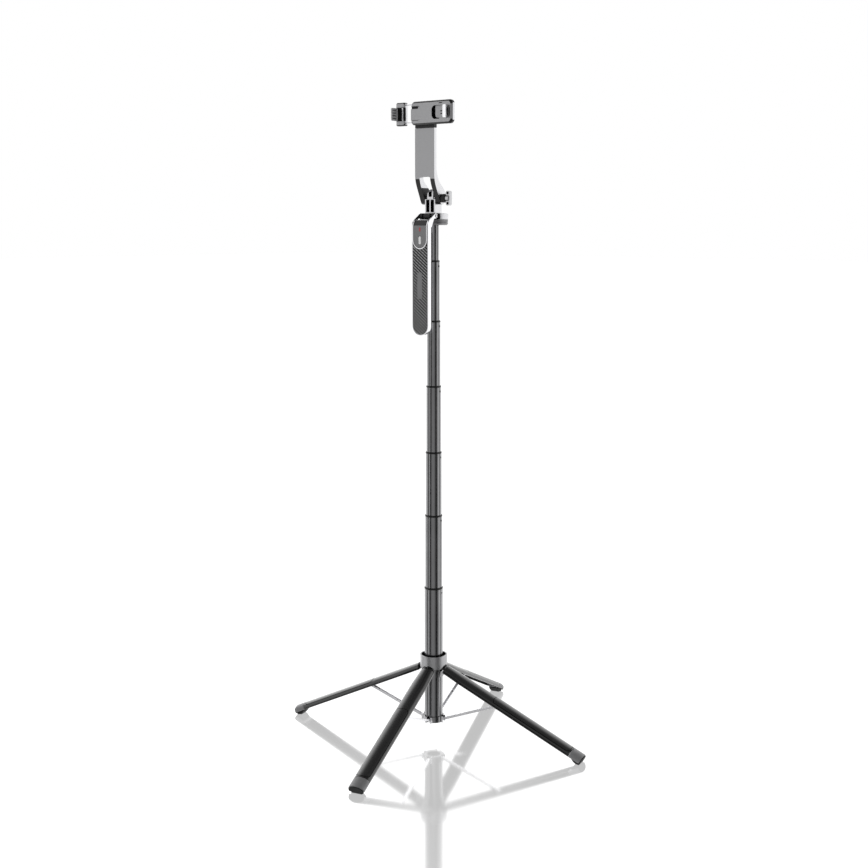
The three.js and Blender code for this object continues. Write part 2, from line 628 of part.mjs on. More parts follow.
function gripFrame() {
  const outline = roundedRectangle(-GRIP_HALF, GRIP_HALF, GRIP_BOTTOM, GRIP_TOP, GRIP_HALF - 1, 2);
  const wall = GRIP_WALL;
  const hollow = roundedRectangle(
    -GRIP_HALF + wall, GRIP_HALF - wall, GRIP_BOTTOM + wall, GRIP_TOP + 9, GRIP_HALF - 1 - wall, 1);
  const tray = frontPlate(outline, GRIP_BACK, GRIP_FRONT)
    .subtract(frontPlate(hollow, GRIP_BACK + wall, GRIP_FRONT + 5));
  const [forward, up] = GRIP_PIVOT;
  const ear = [
    [forward - 2.8, up - 2], [forward, up - 3.6], [18.4, up - 4.2], [GRIP_BACK, GRIP_TOP - 8],
    [GRIP_FRONT, GRIP_TOP - 8], [GRIP_FRONT, GRIP_TOP - 3], [GRIP_BACK + 1, GRIP_TOP + 6],
    [forward + 3, up + 3], [forward, up + 3.6], [forward - 2.8, up + 2], [forward - 3.6, up],
  ];
  let result = tray;
  for (const [x0, x1] of [[GRIP_HALF - GRIP_WALL, GRIP_HALF], [-GRIP_HALF, GRIP_WALL - GRIP_HALF]]) {
    result = result.add(sidePlate(ear, x0, x1));
  }
  return result.subtract(bar('x', 1.5 + GAP, -20, 20, gripCentre));
}

function gripCover() {
  const half = GRIP_HALF - GRIP_WALL - GAP;
  const outline = roundedRectangle(
    -half, half, GRIP_BOTTOM + GRIP_WALL + GAP, BEZEL_BOTTOM + 12, GRIP_HALF - 1 - GRIP_WALL - GAP, 0.5);
  const notch = frontPlate(shield(-GAP, GRIP_TOP + 20), 20, 40);
  const core = roundedRectangle(
    -half + 3, half - 3, GRIP_BOTTOM + 5, BEZEL_BOTTOM - 8, GRIP_HALF - 6, 0.5);
  const hollow = frontPlate(core, 20, GRIP_FRONT - 1.6);
  return frontPlate(outline, GRIP_BACK + GRIP_WALL + GAP, GRIP_FRONT + 0.8).subtract(notch).subtract(hollow);
}

function remoteBezel() {
  const outer = frontPlate(shield(0, GRIP_TOP + 2), GRIP_BACK + GRIP_WALL + GAP, GRIP_FRONT + 1);
  const inner = frontPlate(shield(1.7, GRIP_TOP + 20), 20, 40);
  return outer.subtract(inner);
}

function remoteBody() {
  const slant = sidePlate([
    [GRIP_BACK + 2, REMOTE_BOTTOM - 5], [GRIP_FRONT + 0.6, REMOTE_BOTTOM - 5],
    [GRIP_FRONT + 0.6, REMOTE_TOP - 7], [GRIP_FRONT - 4.6, REMOTE_TOP], [GRIP_BACK + 2, REMOTE_TOP],
  ], -REMOTE_HALF - 1, REMOTE_HALF + 1);
  const body = frontPlate(shield(2, REMOTE_TOP + 4), GRIP_BACK + GRIP_WALL + GAP, GRIP_FRONT + 2);
  const cell = bar('y', 6.6, -28.6, -20, [0, 806], 24);
  const [low, high] = BUTTON_Z;
  const seat = frontPlate(
    roundedRectangle(-BUTTON_HALF - GAP, BUTTON_HALF + GAP, low - GAP, high + GAP, BUTTON_HALF), 30, 40, 4);
  return body.intersect(slant).subtract(cell).subtract(seat);
}

function remoteButton() {
  const [low, high] = BUTTON_Z;
  return frontPlate(
    roundedRectangle(-BUTTON_HALF, BUTTON_HALF, low, high, BUTTON_HALF - 0.05), 31.2, GRIP_FRONT + 1.2, 4);
}

add(group, 'grip_frame', gripFrame(), brightMetal);
add(group, 'grip_cover', gripCover(), carbonTwill);
add(group, 'remote_bezel', remoteBezel(), brightMetal);
add(group, 'remote_body', remoteBody(), greyPlastic);
add(group, 'remote_button', remoteButton(), whitePlastic);
add(group, 'remote_cell', bar('y', 6.2, -28.2, -25.9, [0, 806], 24), brightMetal);

export default group;
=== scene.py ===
"""Looks of the telescopic selfie stick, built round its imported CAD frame. Lengths are millimetres
until a piece is settled on its body; forward is -Y, and the wing knob is on the +X side."""
import json
import math

import bmesh
import bpy
from mathutils import Matrix, Vector


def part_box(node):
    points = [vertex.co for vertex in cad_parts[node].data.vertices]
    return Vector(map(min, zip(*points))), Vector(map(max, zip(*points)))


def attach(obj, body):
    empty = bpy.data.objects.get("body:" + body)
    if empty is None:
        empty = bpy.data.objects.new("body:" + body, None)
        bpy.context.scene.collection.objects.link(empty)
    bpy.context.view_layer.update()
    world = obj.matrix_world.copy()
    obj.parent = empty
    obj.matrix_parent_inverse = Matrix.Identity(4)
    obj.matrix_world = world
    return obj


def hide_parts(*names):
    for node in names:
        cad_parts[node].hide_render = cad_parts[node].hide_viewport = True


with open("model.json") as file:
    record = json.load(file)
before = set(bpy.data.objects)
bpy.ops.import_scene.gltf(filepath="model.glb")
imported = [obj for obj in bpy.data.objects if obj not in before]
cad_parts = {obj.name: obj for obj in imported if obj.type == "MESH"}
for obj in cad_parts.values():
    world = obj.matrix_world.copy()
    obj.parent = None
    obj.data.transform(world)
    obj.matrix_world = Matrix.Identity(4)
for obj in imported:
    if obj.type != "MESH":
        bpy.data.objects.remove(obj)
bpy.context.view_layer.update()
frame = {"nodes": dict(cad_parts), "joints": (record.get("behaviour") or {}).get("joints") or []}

MM = 0.001
SIDES = 96                  # sides of a turned piece
FINE = 12                   # points on a quarter of a rounded corner


# ---- places taken from the frame ----
def node_box(node):
    """Lowest and highest corner of a CAD node, in millimetres."""
    low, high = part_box(node)
    return low / MM, high / MM


joints = {joint["name"]: joint for joint in frame["joints"]}


def pivot(joint):
    return Vector(joints[joint]["pos_m"]) / MM


LEGS = ("right", "back", "left", "front")
hinge = pivot("leg_right_fold")
HINGE_R = math.hypot(hinge.x, hinge.y)
HINGE_Z = hinge.z
strut_joint = pivot("strut_right_fold")
STRUT_R = math.hypot(strut_joint.x, strut_joint.y)
STRUT_Z = strut_joint.z
DROOP = math.atan2(HINGE_Z - STRUT_Z, STRUT_R - HINGE_R)
STRUT_PIVOT = (STRUT_R - HINGE_R) / math.cos(DROOP)     # along the leg
TILT = pivot("arm_tilt")
TILT_AXIS = (TILT.y, TILT.z)
GRIP_PIVOT = pivot("grip_fold")
GRIP_AXIS = (GRIP_PIVOT.y, GRIP_PIVOT.z)
CLAMP_Z = pivot("clamp_swivel").z


def leg_azimuth(side):
    place = pivot(f"leg_{side}_fold")
    return math.atan2(place.y, place.x)


# ---- meshes ----
def new_object(name, vertices, faces):
    mesh = bpy.data.meshes.new(name)
    mesh.from_pydata([tuple(v) for v in vertices], [], faces)
    work = bmesh.new()
    work.from_mesh(mesh)
    bmesh.ops.recalc_face_normals(work, faces=work.faces)
    work.to_mesh(mesh)
    work.free()
    obj = bpy.data.objects.new(name, mesh)
    bpy.context.scene.collection.objects.link(obj)
    return obj


def loft(name, rings, closed=False):
    """Skins rings of equally many points. A closed loft joins its last ring to its first."""
    count = len(rings[0])
    vertices = [point for ring in rings for point in ring]
    faces = []
    for i in range(len(rings) if closed else len(rings) - 1):
        a = i * count
        b = ((i + 1) % len(rings)) * count
        for j in range(count):
            k = (j + 1) % count
            faces.append((a + j, a + k, b + k, b + j))
    if not closed:
        faces.append(tuple(range(count)))
        faces.append(tuple(reversed(range(len(vertices) - count, len(vertices)))))
    return new_object(name, vertices, faces)


def circle(radius, z, sides=SIDES):
    turn = 2 * math.pi / sides
    return [(radius * math.cos(i * turn), radius * math.sin(i * turn), z) for i in range(sides)]


def turned(name, profile, hollow=False, sides=SIDES):
    """A body of revolution about Z from (radius, height) points; a hollow profile closes on itself."""
    return loft(name, [circle(radius, z, sides) for radius, z in profile], closed=hollow)


def bar(name, axis, radius, start, end, centre, sides=SIDES // 2, tip=0.0):
    """A round bar along X or Y, its ends chamfered by tip; centre gives the two other coordinates."""
    profile = [(radius - tip, start), (radius, start + tip), (radius, end - tip), (radius - tip, end)]
    if not tip:
        profile = [(radius, start), (radius, end)]
    obj = turned(name, profile, sides=sides)
    if axis == "x":
        turn = Matrix.Rotation(math.pi / 2, 4, "Y")
        place = Matrix.Translation((0, centre[0], centre[1]))
    elif axis == "y":
        turn = Matrix.Rotation(-math.pi / 2, 4, "X")
        place = Matrix.Translation((centre[0], 0, centre[1]))
    else:
        turn = Matrix.Identity(4)
        place = Matrix.Translation((centre[0], centre[1], 0))
    obj.data.transform(place @ turn)
    return obj


def rounded(x0, x1, z0, z1, low, high=None, steps=FINE):
    """Outline of a rectangle with round corners, of radius low below and high above."""
    high = low if high is None else high
    corners = [
        (x1 - low, z0 + low, low, -90), (x1 - high, z1 - high, high, 0),
        (x0 + high, z1 - high, high, 90), (x0 + low, z0 + low, low, 180),
    ]
    points = []
    for cx, cz, radius, start in corners:
        for i in range(steps + 1):
            angle = math.radians(start + 90 * i / steps)
            points.append((cx + radius * math.cos(angle), cz + radius * math.sin(angle)))
    return points


def curve(start, control, end, steps=8):
    """Points of a quadratic curve between two points."""
    points = []
    for i in range(steps + 1):
        t = i / steps
        weights = ((1 - t) ** 2, 2 * t * (1 - t), t * t)
        points.append(tuple(
            weights[0] * a + weights[1] * b + weights[2] * c for a, b, c in zip(start, control, end)))
    return points


def facing(outline, forward):
    """The points of an (x, z) outline at a forward distance."""
    return [(x, -forward, z) for x, z in outline]


def front_plate(name, outline, back, front):
    """An (x, z) outline, extruded between two forward distances."""
    return loft(name, [facing(outline, back), facing(outline, front)])


def side_plate(name, outline, x0, x1):
    """A (forward, z) outline, extruded across."""
    return loft(name, [[(x, -forward, z) for forward, z in outline] for x in (x0, x1)])


def block(name, x0, x1, back, front, z0, z1):
    return front_plate(name, [(x0, z0), (x1, z0), (x1, z1), (x0, z1)], back, front)


def bake(obj):
    """Turns an object's modifiers into its mesh."""
    graph = bpy.context.evaluated_depsgraph_get()
    mesh = bpy.data.meshes.new_from_object(obj.evaluated_get(graph))
    obj.modifiers.clear()
    old = obj.data
    obj.data = mesh
    bpy.data.meshes.remove(old)


def combine(obj, operation, *others):
    """Cuts, joins or intersects with other bodies, which are used up. Cut faces keep the tool's finish."""
    for other in others:
        modifier = obj.modifiers.new(operation, "BOOLEAN")
        modifier.operation = operation
        modifier.solver = "EXACT"
        modifier.material_mode = "TRANSFER"
        modifier.object = other
        bake(obj)
        bpy.data.objects.remove(other)
    return obj


def cut(obj, *tools):
    return combine(obj, "DIFFERENCE", *tools)


def join(obj, *others):
    return combine(obj, "UNION", *others)


def carve(obj, finish, tool):
    """Cuts with a tool, which leaves a finish on the faces it cuts."""
    return cut(obj, dressed(tool, finish))


def weld(obj, finish, other):
    """Joins another body in its own finish."""
    return join(obj, dressed(other, finish))


def soften(obj, width, segments=2, angle=32):
    """Rounds the edges sharper than an angle."""
    work = bmesh.new()
    work.from_mesh(obj.data)
    bmesh.ops.remove_doubles(work, verts=work.verts, dist=1e-4)
    bmesh.ops.dissolve_limit(
        work, angle_limit=math.radians(0.3), verts=work.verts, edges=work.edges, delimit={"MATERIAL"})
    work.to_mesh(obj.data)
    work.free()
    modifier = obj.modifiers.new("soften", "BEVEL")
    modifier.width = width
    modifier.segments = segments
    modifier.limit_method = "ANGLE"
    modifier.angle_limit = math.radians(angle)
    modifier.use_clamp_overlap = True
    modifier.miter_outer = "MITER_ARC"
    bake(obj)
    return obj


def dressed(obj, material):
    obj.data.materials.clear()
    obj.data.materials.append(material)
    return obj


def paint(obj, material, test):
    """Gives a finish to the faces whose centre and normal pass a test."""
    if material.name not in [m.name for m in obj.data.materials if m]:
        obj.data.materials.append(material)
    index = [m.name if m else "" for m in obj.data.materials].index(material.name)
    for face in obj.data.polygons:
        if test(face.center, face.normal):
            face.material_index = index
    return obj


def settle(obj, body, nodes, place=None):
    """Shades a finished piece, brings it to metres and puts it on its body in place of its CAD nodes."""
    if place is not None:
        obj.data.transform(place)
    obj.data.transform(Matrix.Scale(MM, 4))
    obj.data.shade_smooth()
    obj.data.set_sharp_from_angle(angle=math.radians(38))
    modifier = obj.modifiers.new("normals", "WEIGHTED_NORMAL")
    modifier.keep_sharp = True
    bake(obj)
    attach(obj, body)
    if nodes:
        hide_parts(*nodes)
    return obj


# ---- finishes ----
class Nodes:
    """A small hand for wiring a material's nodes."""

    def __init__(self, tree):
        self.tree = tree

    def add(self, kind, inputs=None, **settings):
        node = self.tree.nodes.new(kind)
        for key, value in settings.items():
            setattr(node, key, value)
        for key, value in (inputs or {}).items():
            if isinstance(value, bpy.types.NodeSocket):
                self.tree.links.new(value, node.inputs[key])
            else:
                node.inputs[key].default_value = value
        return node

    def math(self, operation, a, b=0.0):
        return self.add("ShaderNodeMath", {0: a, 1: b}, operation=operation).outputs[0]

    def remap(self, value, low, high, to_low, to_high):
        return self.add("ShaderNodeMapRange", {
            "Value": value, "From Min": low, "From Max": high, "To Min": to_low, "To Max": to_high,
        }).outputs["Result"]

    def noise(self, scale, detail=3.0, stretch=(1, 1, 1), roughness=0.55):
        place = self.add("ShaderNodeTexCoord").outputs["Object"]
        scaled = self.add("ShaderNodeMapping", {"Vector": place, "Scale": stretch}).outputs["Vector"]
        return self.add("ShaderNodeTexNoise", {
            "Vector": scaled, "Scale": scale, "Detail": detail, "Roughness": roughness,
        }).outputs["Fac"]

    def blend(self, factor, first, second):
        node = self.add("ShaderNodeMix", data_type="RGBA")
        for key, value in (("Factor", factor), (6, first), (7, second)):
            socket = node.inputs[key]
            if isinstance(value, bpy.types.NodeSocket):
                self.tree.links.new(value, socket)
            else:
                socket.default_value = value
        return node.outputs[2]


def shader(name, roughness, metallic, **extra):
    material = bpy.data.materials.new(name)
    material.use_nodes = True
    tree = material.node_tree
    principled = tree.nodes["Principled BSDF"]
    principled.inputs["Roughness"].default_value = roughness
    principled.inputs["Metallic"].default_value = metallic
    for key, value in extra.items():
        principled.inputs[key.replace("_", " ")].default_value = value
    return material, principled, Nodes(tree)


def surface(name, tone, roughness, metallic=0.0, grain=900.0, stretch=(1, 1, 1), variation=0.12,
            gloss_spread=0.08, bump=0.00003, tint=(1.0, 1.0, 1.02), **extra):
    """A moulded, painted or drawn surface: fine grain in bump and gloss, with slow handling marks."""
    material, principled, nodes = shader(name, roughness, metallic, **extra)
    fine = nodes.noise(grain, stretch=stretch)
    slow = nodes.noise(38.0, detail=4.0, roughness=0.6)
    mixed = nodes.math("ADD", nodes.math("MULTIPLY", fine, 0.45), nodes.math("MULTIPLY", slow, 0.55))
    darker = [tone * channel * (1 - variation) for channel in tint] + [1]
    lighter = [tone * channel * (1 + variation) for channel in tint] + [1]
    factor = nodes.remap(mixed, 0.35, 0.65, 0.0, 1.0)
    tree = nodes.tree
    tree.links.new(nodes.blend(factor, darker, lighter), principled.inputs["Base Color"])
    gloss = nodes.remap(mixed, 0.3, 0.7, roughness - gloss_spread, roughness + gloss_spread)
    tree.links.new(gloss, principled.inputs["Roughness"])
    if bump:
        relief = nodes.add("ShaderNodeBump", {"Strength": 0.6, "Distance": bump, "Height": fine})
        tree.links.new(relief.outputs["Normal"], principled.inputs["Normal"])
    return material


WEAVE_PITCH = 0.0048        # metres from tow to tow
WEAVE_LEAN = 0.72           # how far a tow rises for each step across
WEAVE_RUN = 1.6             # pitches from crossing to crossing along a tow
WEAVE_SHIFT = 0.37          # how far each row's crossings move along


def carbon_weave(name):
    """Carbon twill under clear lacquer: broad diagonal tows, light and dark, each broken by the weave."""
    material, principled, nodes = shader(
        name, 0.36, 0.0, Specular_IOR_Level=0.25, Coat_Weight=0.1, Coat_Roughness=0.15)
    place = nodes.add("ShaderNodeTexCoord").outputs["Object"]
    split = nodes.add("ShaderNodeSeparateXYZ", {0: place})
    x, z = split.outputs["X"], split.outputs["Z"]
    leaning = nodes.math("MULTIPLY", x, WEAVE_LEAN)
    across = nodes.math("DIVIDE", nodes.math("ADD", leaning, z), WEAVE_PITCH)
    row = nodes.math("FLOOR", across)
    phase = nodes.math("FRACT", across)
    tow = nodes.math("PINGPONG", nodes.math("MULTIPLY", phase, 2.0), 1.0)
    run = nodes.math("DIVIDE", nodes.math("SUBTRACT", leaning, z), WEAVE_PITCH * WEAVE_RUN)
    shifted = nodes.math("ADD", run, nodes.math("MULTIPLY", row, WEAVE_SHIFT))
    crossing = nodes.math("PINGPONG", nodes.math("MULTIPLY", nodes.math("FRACT", shifted), 2.0), 1.0)
    ridge = nodes.remap(tow, 0.50, 0.66, 0.0, 1.0)
    fibre = nodes.noise(2600.0, detail=2.0, stretch=(1, 1, 0.4))
    light = nodes.math("MULTIPLY", ridge, nodes.remap(crossing, 0.0, 1.0, 0.55, 1.0))
    light = nodes.math("MULTIPLY", light, nodes.remap(fibre, 0.3, 0.7, 0.8, 1.2))
    colour = nodes.blend(light, (0.002, 0.002, 0.0022, 1), (0.40, 0.40, 0.405, 1))
    nodes.tree.links.new(colour, principled.inputs["Base Color"])
    gloss = nodes.remap(crossing, 0.0, 1.0, 0.28, 0.42)
    nodes.tree.links.new(gloss, principled.inputs["Roughness"])
    relief = nodes.add("ShaderNodeBump", {"Strength": 0.5, "Distance": 0.00012, "Height": light})
    nodes.tree.links.new(relief.outputs["Normal"], principled.inputs["Normal"])
    return material


anodised = surface("black_anodised_tube", 0.27, 0.22, 1.0, grain=2600, stretch=(1, 1, 0.03), variation=0.1,
                   gloss_spread=0.05, bump=0.00001)
# Black plastic, and also the painted shade on the arm's fork and in the groove round the clamp's recess.
plastic_and_shade = surface("black_plastic", 0.008, 0.38, grain=1500, bump=0.00002, Specular_IOR_Level=0.35)
leg_plastic = surface("leg_plastic", 0.007, 0.24, grain=1300, gloss_spread=0.04, bump=0.00001,
                      Specular_IOR_Level=0.6, Coat_Weight=0.5, Coat_Roughness=0.15)
pad_plastic = surface("leg_pad_plastic", 0.008, 0.28, grain=1500, gloss_spread=0.05, bump=0.000015,
                      Specular_IOR_Level=0.6, Coat_Weight=0.5, Coat_Roughness=0.18)
foot_plastic = surface("foot_plastic", 0.24, 0.38, grain=1100, variation=0.2)
rubber = surface("rubber", 0.011, 0.8, grain=1600, variation=0.25, bump=0.00006)
# Near-black painted shade for the insides of flutes, slots, pockets, sockets, bores, seats and grooves.
painted_shade = surface("painted_shade", 0.003, 0.6, grain=1500, Specular_IOR_Level=0.2)
steel = surface("steel", 0.6, 0.22, 1.0, grain=2200, bump=0.00001)
strut_metal = surface("strut_aluminium", 0.93, 0.5, 1.0, grain=2200, variation=0.04, bump=0.00001)
collar_metal = surface("collar_aluminium", 0.66, 0.42, 1.0, grain=2400, stretch=(1, 1, 8), bump=0.00001)
satin_metal = surface("satin_aluminium", 0.38, 0.42, 0.75, grain=2600, variation=0.05, bump=0.000012)
# Bright aluminium, and also the painted highlight on faces turned towards the light.
bright_metal_and_highlight = surface("bright_aluminium", 0.64, 0.3, 1.0, grain=2600, variation=0.04, bump=0.00001)
hub_paint = surface("hub_paint", 0.40, 0.34, 0.8, grain=2400, variation=0.06, bump=0.000015)
clamp_paint = surface("clamp_paint", 0.39, 0.42, 0.7, grain=2400, variation=0.05, bump=0.000015)
knob_metal = surface("knob_metal", 0.50, 0.3, 1.0, grain=1800, variation=0.05, bump=0.000006)
base_metal = surface("base_metal", 0.20, 0.45, 0.8, grain=2400, variation=0.06, bump=0.00001)
chrome = surface("silver_plating", 0.80, 0.2, 1.0, grain=1800, variation=0.03, gloss_spread=0.04,
                 bump=0.000006)
remote_paint = surface("remote_paint", 0.21, 0.42, 0.1, grain=2200, variation=0.05)
gloss_black = surface("gloss_black", 0.004, 0.14, grain=900, gloss_spread=0.03, bump=0.000004,
                      Specular_IOR_Level=0.4, Coat_Weight=0.3, Coat_Roughness=0.05)
white_plastic = surface("white_plastic", 0.95, 0.3, grain=1600, variation=0.02, tint=(1, 1, 1))
red_plastic = surface("red_plastic", 0.55, 0.35, grain=1600, variation=0.08, tint=(1.0, 0.12, 0.14))
jaw_rubber = surface("jaw_rubber", 0.5, 0.5, 0.2, grain=1600, variation=0.12)
carbon = carbon_weave("carbon_twill")


# ---- mast ----
TUBES = range(1, 8)
TUBE_WALL = 0.65
FLUTE_HALF = 1.5
FLUTE_DEPTH = 0.42           # on a tube of radius FLUTE_RADIUS, and in proportion on the others
FLUTE_RADIUS = 14.6
FLUTE_SHADE_HALF = 0.62           # half the width of the painted shade on its floor
FLUTE_SIDES = 216
DETENT_AZIMUTH = leg_azimuth("right")
DETENT_DROP = 6.2            # from the tube's top
DETENT_SINK = 0.05


def tube_size(i):
    low, high = node_box(f"mast_tube_{i}")
    return high.x, low.z, high.z


def from_flute(angle):
    """The angle from the nearest of the four flutes."""
    return abs((angle + math.pi / 4) % (math.pi / 2) - math.pi / 4)


def fluted(radius, z, depth):
    """A circle with four key flutes, one a quarter turn."""
    half = FLUTE_HALF / radius
    points = []
    for i in range(FLUTE_SIDES):
        angle = 2 * math.pi * i / FLUTE_SIDES
        away = from_flute(angle)
        dip = depth * 0.5 * (1 + math.cos(math.pi * away / half)) if away < half else 0.0
        points.append(((radius - dip) * math.cos(angle), (radius - dip) * math.sin(angle), z))
    return points


def tube_body(i):
    return "base" if i == 1 else f"tube_{i}"


def mast_tube(i):
    radius, low, high = tube_size(i)
    lip = 0.2
    depth = FLUTE_DEPTH * radius / FLUTE_RADIUS
    inner = radius - TUBE_WALL
    rings = [
        fluted(radius, low + lip, depth), fluted(radius, high - lip, depth),
        fluted(radius - lip, high, depth), fluted(inner, high, 0),
        fluted(inner, low, 0), fluted(radius - lip, low, depth),
    ]
    obj = dressed(loft(f"tube_{i}_drawn", rings, closed=True), anodised)

    # The flute's floor is painted dark as shade.
    def in_flute_shade(centre, normal):
        off = from_flute(math.atan2(centre.y, centre.x)) * radius
        return off < FLUTE_SHADE_HALF and math.hypot(centre.x, centre.y) > radius - 0.9 * TUBE_WALL
    paint(obj, painted_shade, in_flute_shade)
    settle(obj, tube_body(i), [f"mast_tube_{i}"])


def detent(i):
    """The sprung button that stops a tube, in its dimple below the bush."""
    radius, _, high = tube_size(i)
    dimple = [(1.75, -0.35), (1.75, 0.05), (1.5, 0.12), (1.35, -0.05)]
    button = [(1.1, -0.02), (0.8, 0.12), (0.2, 0.2)]
    # The dimple and the button are dressed in the near-black painted shade.
    obj = dressed(turned(f"detent_{i}", dimple + button, sides=32), painted_shade)
    place = Matrix.Translation((radius - DETENT_SINK, 0, high - DETENT_DROP))
    turn = Matrix.Rotation(DETENT_AZIMUTH, 4, "Z") @ place @ Matrix.Rotation(math.pi / 2, 4, "Y")
    settle(obj, tube_body(i), [], turn)


def bush(i):
    low, high = node_box(f"tube_bush_{i}")
    inner = tube_size(i + 1)[0] + 0.3
    outer = high.x
    profile = [
        (inner + 0.3, low.z), (outer - 0.25, low.z), (outer, low.z + 0.25), (outer, low.z + 1.1),
        (outer - 0.3, low.z + 1.5), (outer - 0.45, high.z - 0.35), (outer - 0.8, high.z),
        (inner + 0.25, high.z), (inner, high.z - 0.25), (inner, low.z + 0.3),
    ]
    obj = dressed(turned(f"bush_{i}", profile, hollow=True), plastic_and_shade)
    settle(obj, tube_body(i), [f"tube_bush_{i}"])


for i in TUBES:
    mast_tube(i)
    if i < TUBES[-1]:
        bush(i)
    detent(i)


# ---- hub and lower collar ----
TUBE_1_R = tube_size(1)[0]
HUB_BORE = TUBE_1_R + 0.6
HUB_CUP_R = TUBE_1_R + 7.0
HUB_WALL = 2.0
HUB_CORE_R = TUBE_1_R + 4.7
SCALLOP_R = 12.5
SCALLOP_DEPTH = 14.2         # from the hub's top to the crown of a scallop
LEG_PIN_BORE = 1.4


def at_legs(make_tool):
    tools = []
    for side in LEGS:
        tool = make_tool()
        tool.data.transform(Matrix.Rotation(leg_azimuth(side), 4, "Z"))
        tools.append(tool)
    return tools


def box_tool(name, x0, x1, half, z0, z1, material=None):
    obj = block(name, x0, x1, -half, half, z0, z1)
    return dressed(obj, material) if material else obj


def hub_ring():
    low, high = node_box("hub_ring")
    inner = HUB_CUP_R - HUB_WALL
    floor = (high.z - 11.8, high.z - 9.3)
    profile = [
        (HUB_BORE, floor[0]), (inner, floor[0]), (inner, low.z), (HUB_CUP_R, low.z), (HUB_CUP_R, high.z),
        (inner, high.z), (inner, floor[1]), (HUB_BORE, floor[1]),
    ]
    obj = dressed(turned("hub_cup", profile, hollow=True, sides=144), hub_paint)
    paint(obj, plastic_and_shade, lambda centre, normal: math.hypot(centre.x, centre.y) < inner + 0.05)
    scallop = (0, high.z - SCALLOP_DEPTH - SCALLOP_R)
    cut(obj, *at_legs(lambda: dressed(
        bar("scallop", "x", SCALLOP_R, HUB_BORE + 1, HUB_CUP_R + 4, scallop, sides=96), hub_paint)))
    soften(obj, 0.45, 3)
    settle(obj, "hub", ["hub_ring"])


def hub_core():
    low, high = node_box("hub_core")
    sleeve = HUB_BORE + 1
    lug_low = HINGE_Z - 3.5
    profile = [
        (HUB_BORE, low.z), (sleeve, low.z), (sleeve, lug_low), (HUB_CORE_R, lug_low),
        (HUB_CORE_R, high.z), (HUB_BORE, high.z),
    ]
    obj = dressed(turned("hub_carrier", profile, hollow=True), anodised)
    cut(obj, *at_legs(lambda: box_tool("slot", 10, 30, 6.4, HINGE_Z - 3.8, HINGE_Z + 3.5)))
    pin = (HINGE_R, HINGE_Z)
    cut(obj, *at_legs(lambda: bar("pin_bore", "y", LEG_PIN_BORE, -9.5, 9.5, pin, sides=24)))
    soften(obj, 0.3, 2)
    settle(obj, "hub", ["hub_core"])


STRUT_EYE = 2.1              # outer radius of a strut's eyes
STRUT_WAIST = 1.7            # half its height between the eyes
STRUT_HALF = 2.6
COLLAR_PIN_Z = node_box("strut_right")[0].z + STRUT_EYE
COLLAR_BORE = 11.0
COLLAR_R = 16.4


def lower_collar():
    low, high = node_box("lower_collar")
    radius, tube_low, _ = tube_size(1)
    bore = radius + 0.3
    spigot = radius - TUBE_WALL - 0.3
    flange = tube_low - 0.3
    profile = [
        (COLLAR_BORE, low.z), (COLLAR_R, low.z), (COLLAR_R, high.z), (bore, high.z), (bore, flange),
        (spigot, flange), (spigot, high.z), (COLLAR_BORE, high.z),
    ]
    obj = dressed(turned("foot_collar", profile, hollow=True), anodised)
    join(obj, *at_legs(lambda: box_tool("lug", bore + 1, 19, 5.6, low.z, high.z, strut_metal)))
    cut(obj, *at_legs(lambda: box_tool("slot", HINGE_R - 2.7, 25, 3.0, low.z - 1, high.z + 1)))
    cut(obj, *at_legs(
        lambda: box_tool("pin_slot", HINGE_R - 1.7, HINGE_R + 1.3, 4.7, low.z - 1, COLLAR_PIN_Z + 1.3)))
    soften(obj, 0.35, 2)
    settle(obj, "base", ["lower_collar"])


hub_ring()
hub_core()
lower_collar()

# ---- legs: x along the leg from its hinge, y across, z away from the mast ----
LEG_START = 5.0
LEG_END = 242.7
LEG_HALF = 13.2
LEG_NECK = 11.6              # half the leg's width at the hub
LEG_WIDENS = 38.0            # the length over which it widens
LEG_WALL = 1.8
CREST = 6.5
SIDE_TOP = -1.0
CROWN = CREST - SIDE_TOP
UNDERSIDE = -3.5
PAD = (98.0, 240.0)
PAD_EDGE = math.radians(34)
CAP_END = 261.8
SOLE_END = 263.1
SOLE_HALF = 9.0
SOLE_TAPER_TOP = -7.8        # below this the wedge narrows, so that folded feet pass each other
SOLE_TAPER = 3.0
SOLE_CONTACT = (245.5, 252.3)  # from the mast
TREADS = (246.4, 248.0, 249.6, 251.2)
CROWN_STEPS = 40


def crown(half, height, edge=0.0, steps=CROWN_STEPS):
    """Points (y, z) over the leg's crown, from its right edge to its left."""
    angles = [edge + (math.pi - 2 * edge) * i / steps for i in range(steps + 1)]
    return [(half * math.cos(a), SIDE_TOP + height * math.sin(a)) for a in angles]


def section(half, height, underside, round_foot=1.2):
    """A D-shaped section with its two lower corners rounded."""
    left = curve((-half, underside + round_foot), (-half, underside), (-half + round_foot, underside), 4)
    right = curve((half - round_foot, underside), (half, underside), (half, underside + round_foot), 4)
    return crown(half, height) + left + right


def along(name, sections):
    """Lofts (x, outline of (y, z)) sections along the leg."""
    return loft(name, [[(x, y, z) for y, z in outline] for x, outline in sections])


def leg_width(x):
    """The leg widens from its neck at the hub to its full width."""
    t = min(max((x - LEG_START) / LEG_WIDENS, 0), 1)
    return LEG_NECK + (LEG_HALF - LEG_NECK) * t * t * (3 - 2 * t)


def in_leg(r, z):
    """A point of the open leg's upright plane, in the leg's frame."""
    across, up = r - HINGE_R, z - HINGE_Z
    cosine, sine = math.cos(DROOP), math.sin(DROOP)
    return (across * cosine - up * sine, across * sine + up * cosine)


def leg_side_plate(name, outline, half):
    return loft(name, [[(x, y, z) for x, z in outline] for y in (-half, half)])


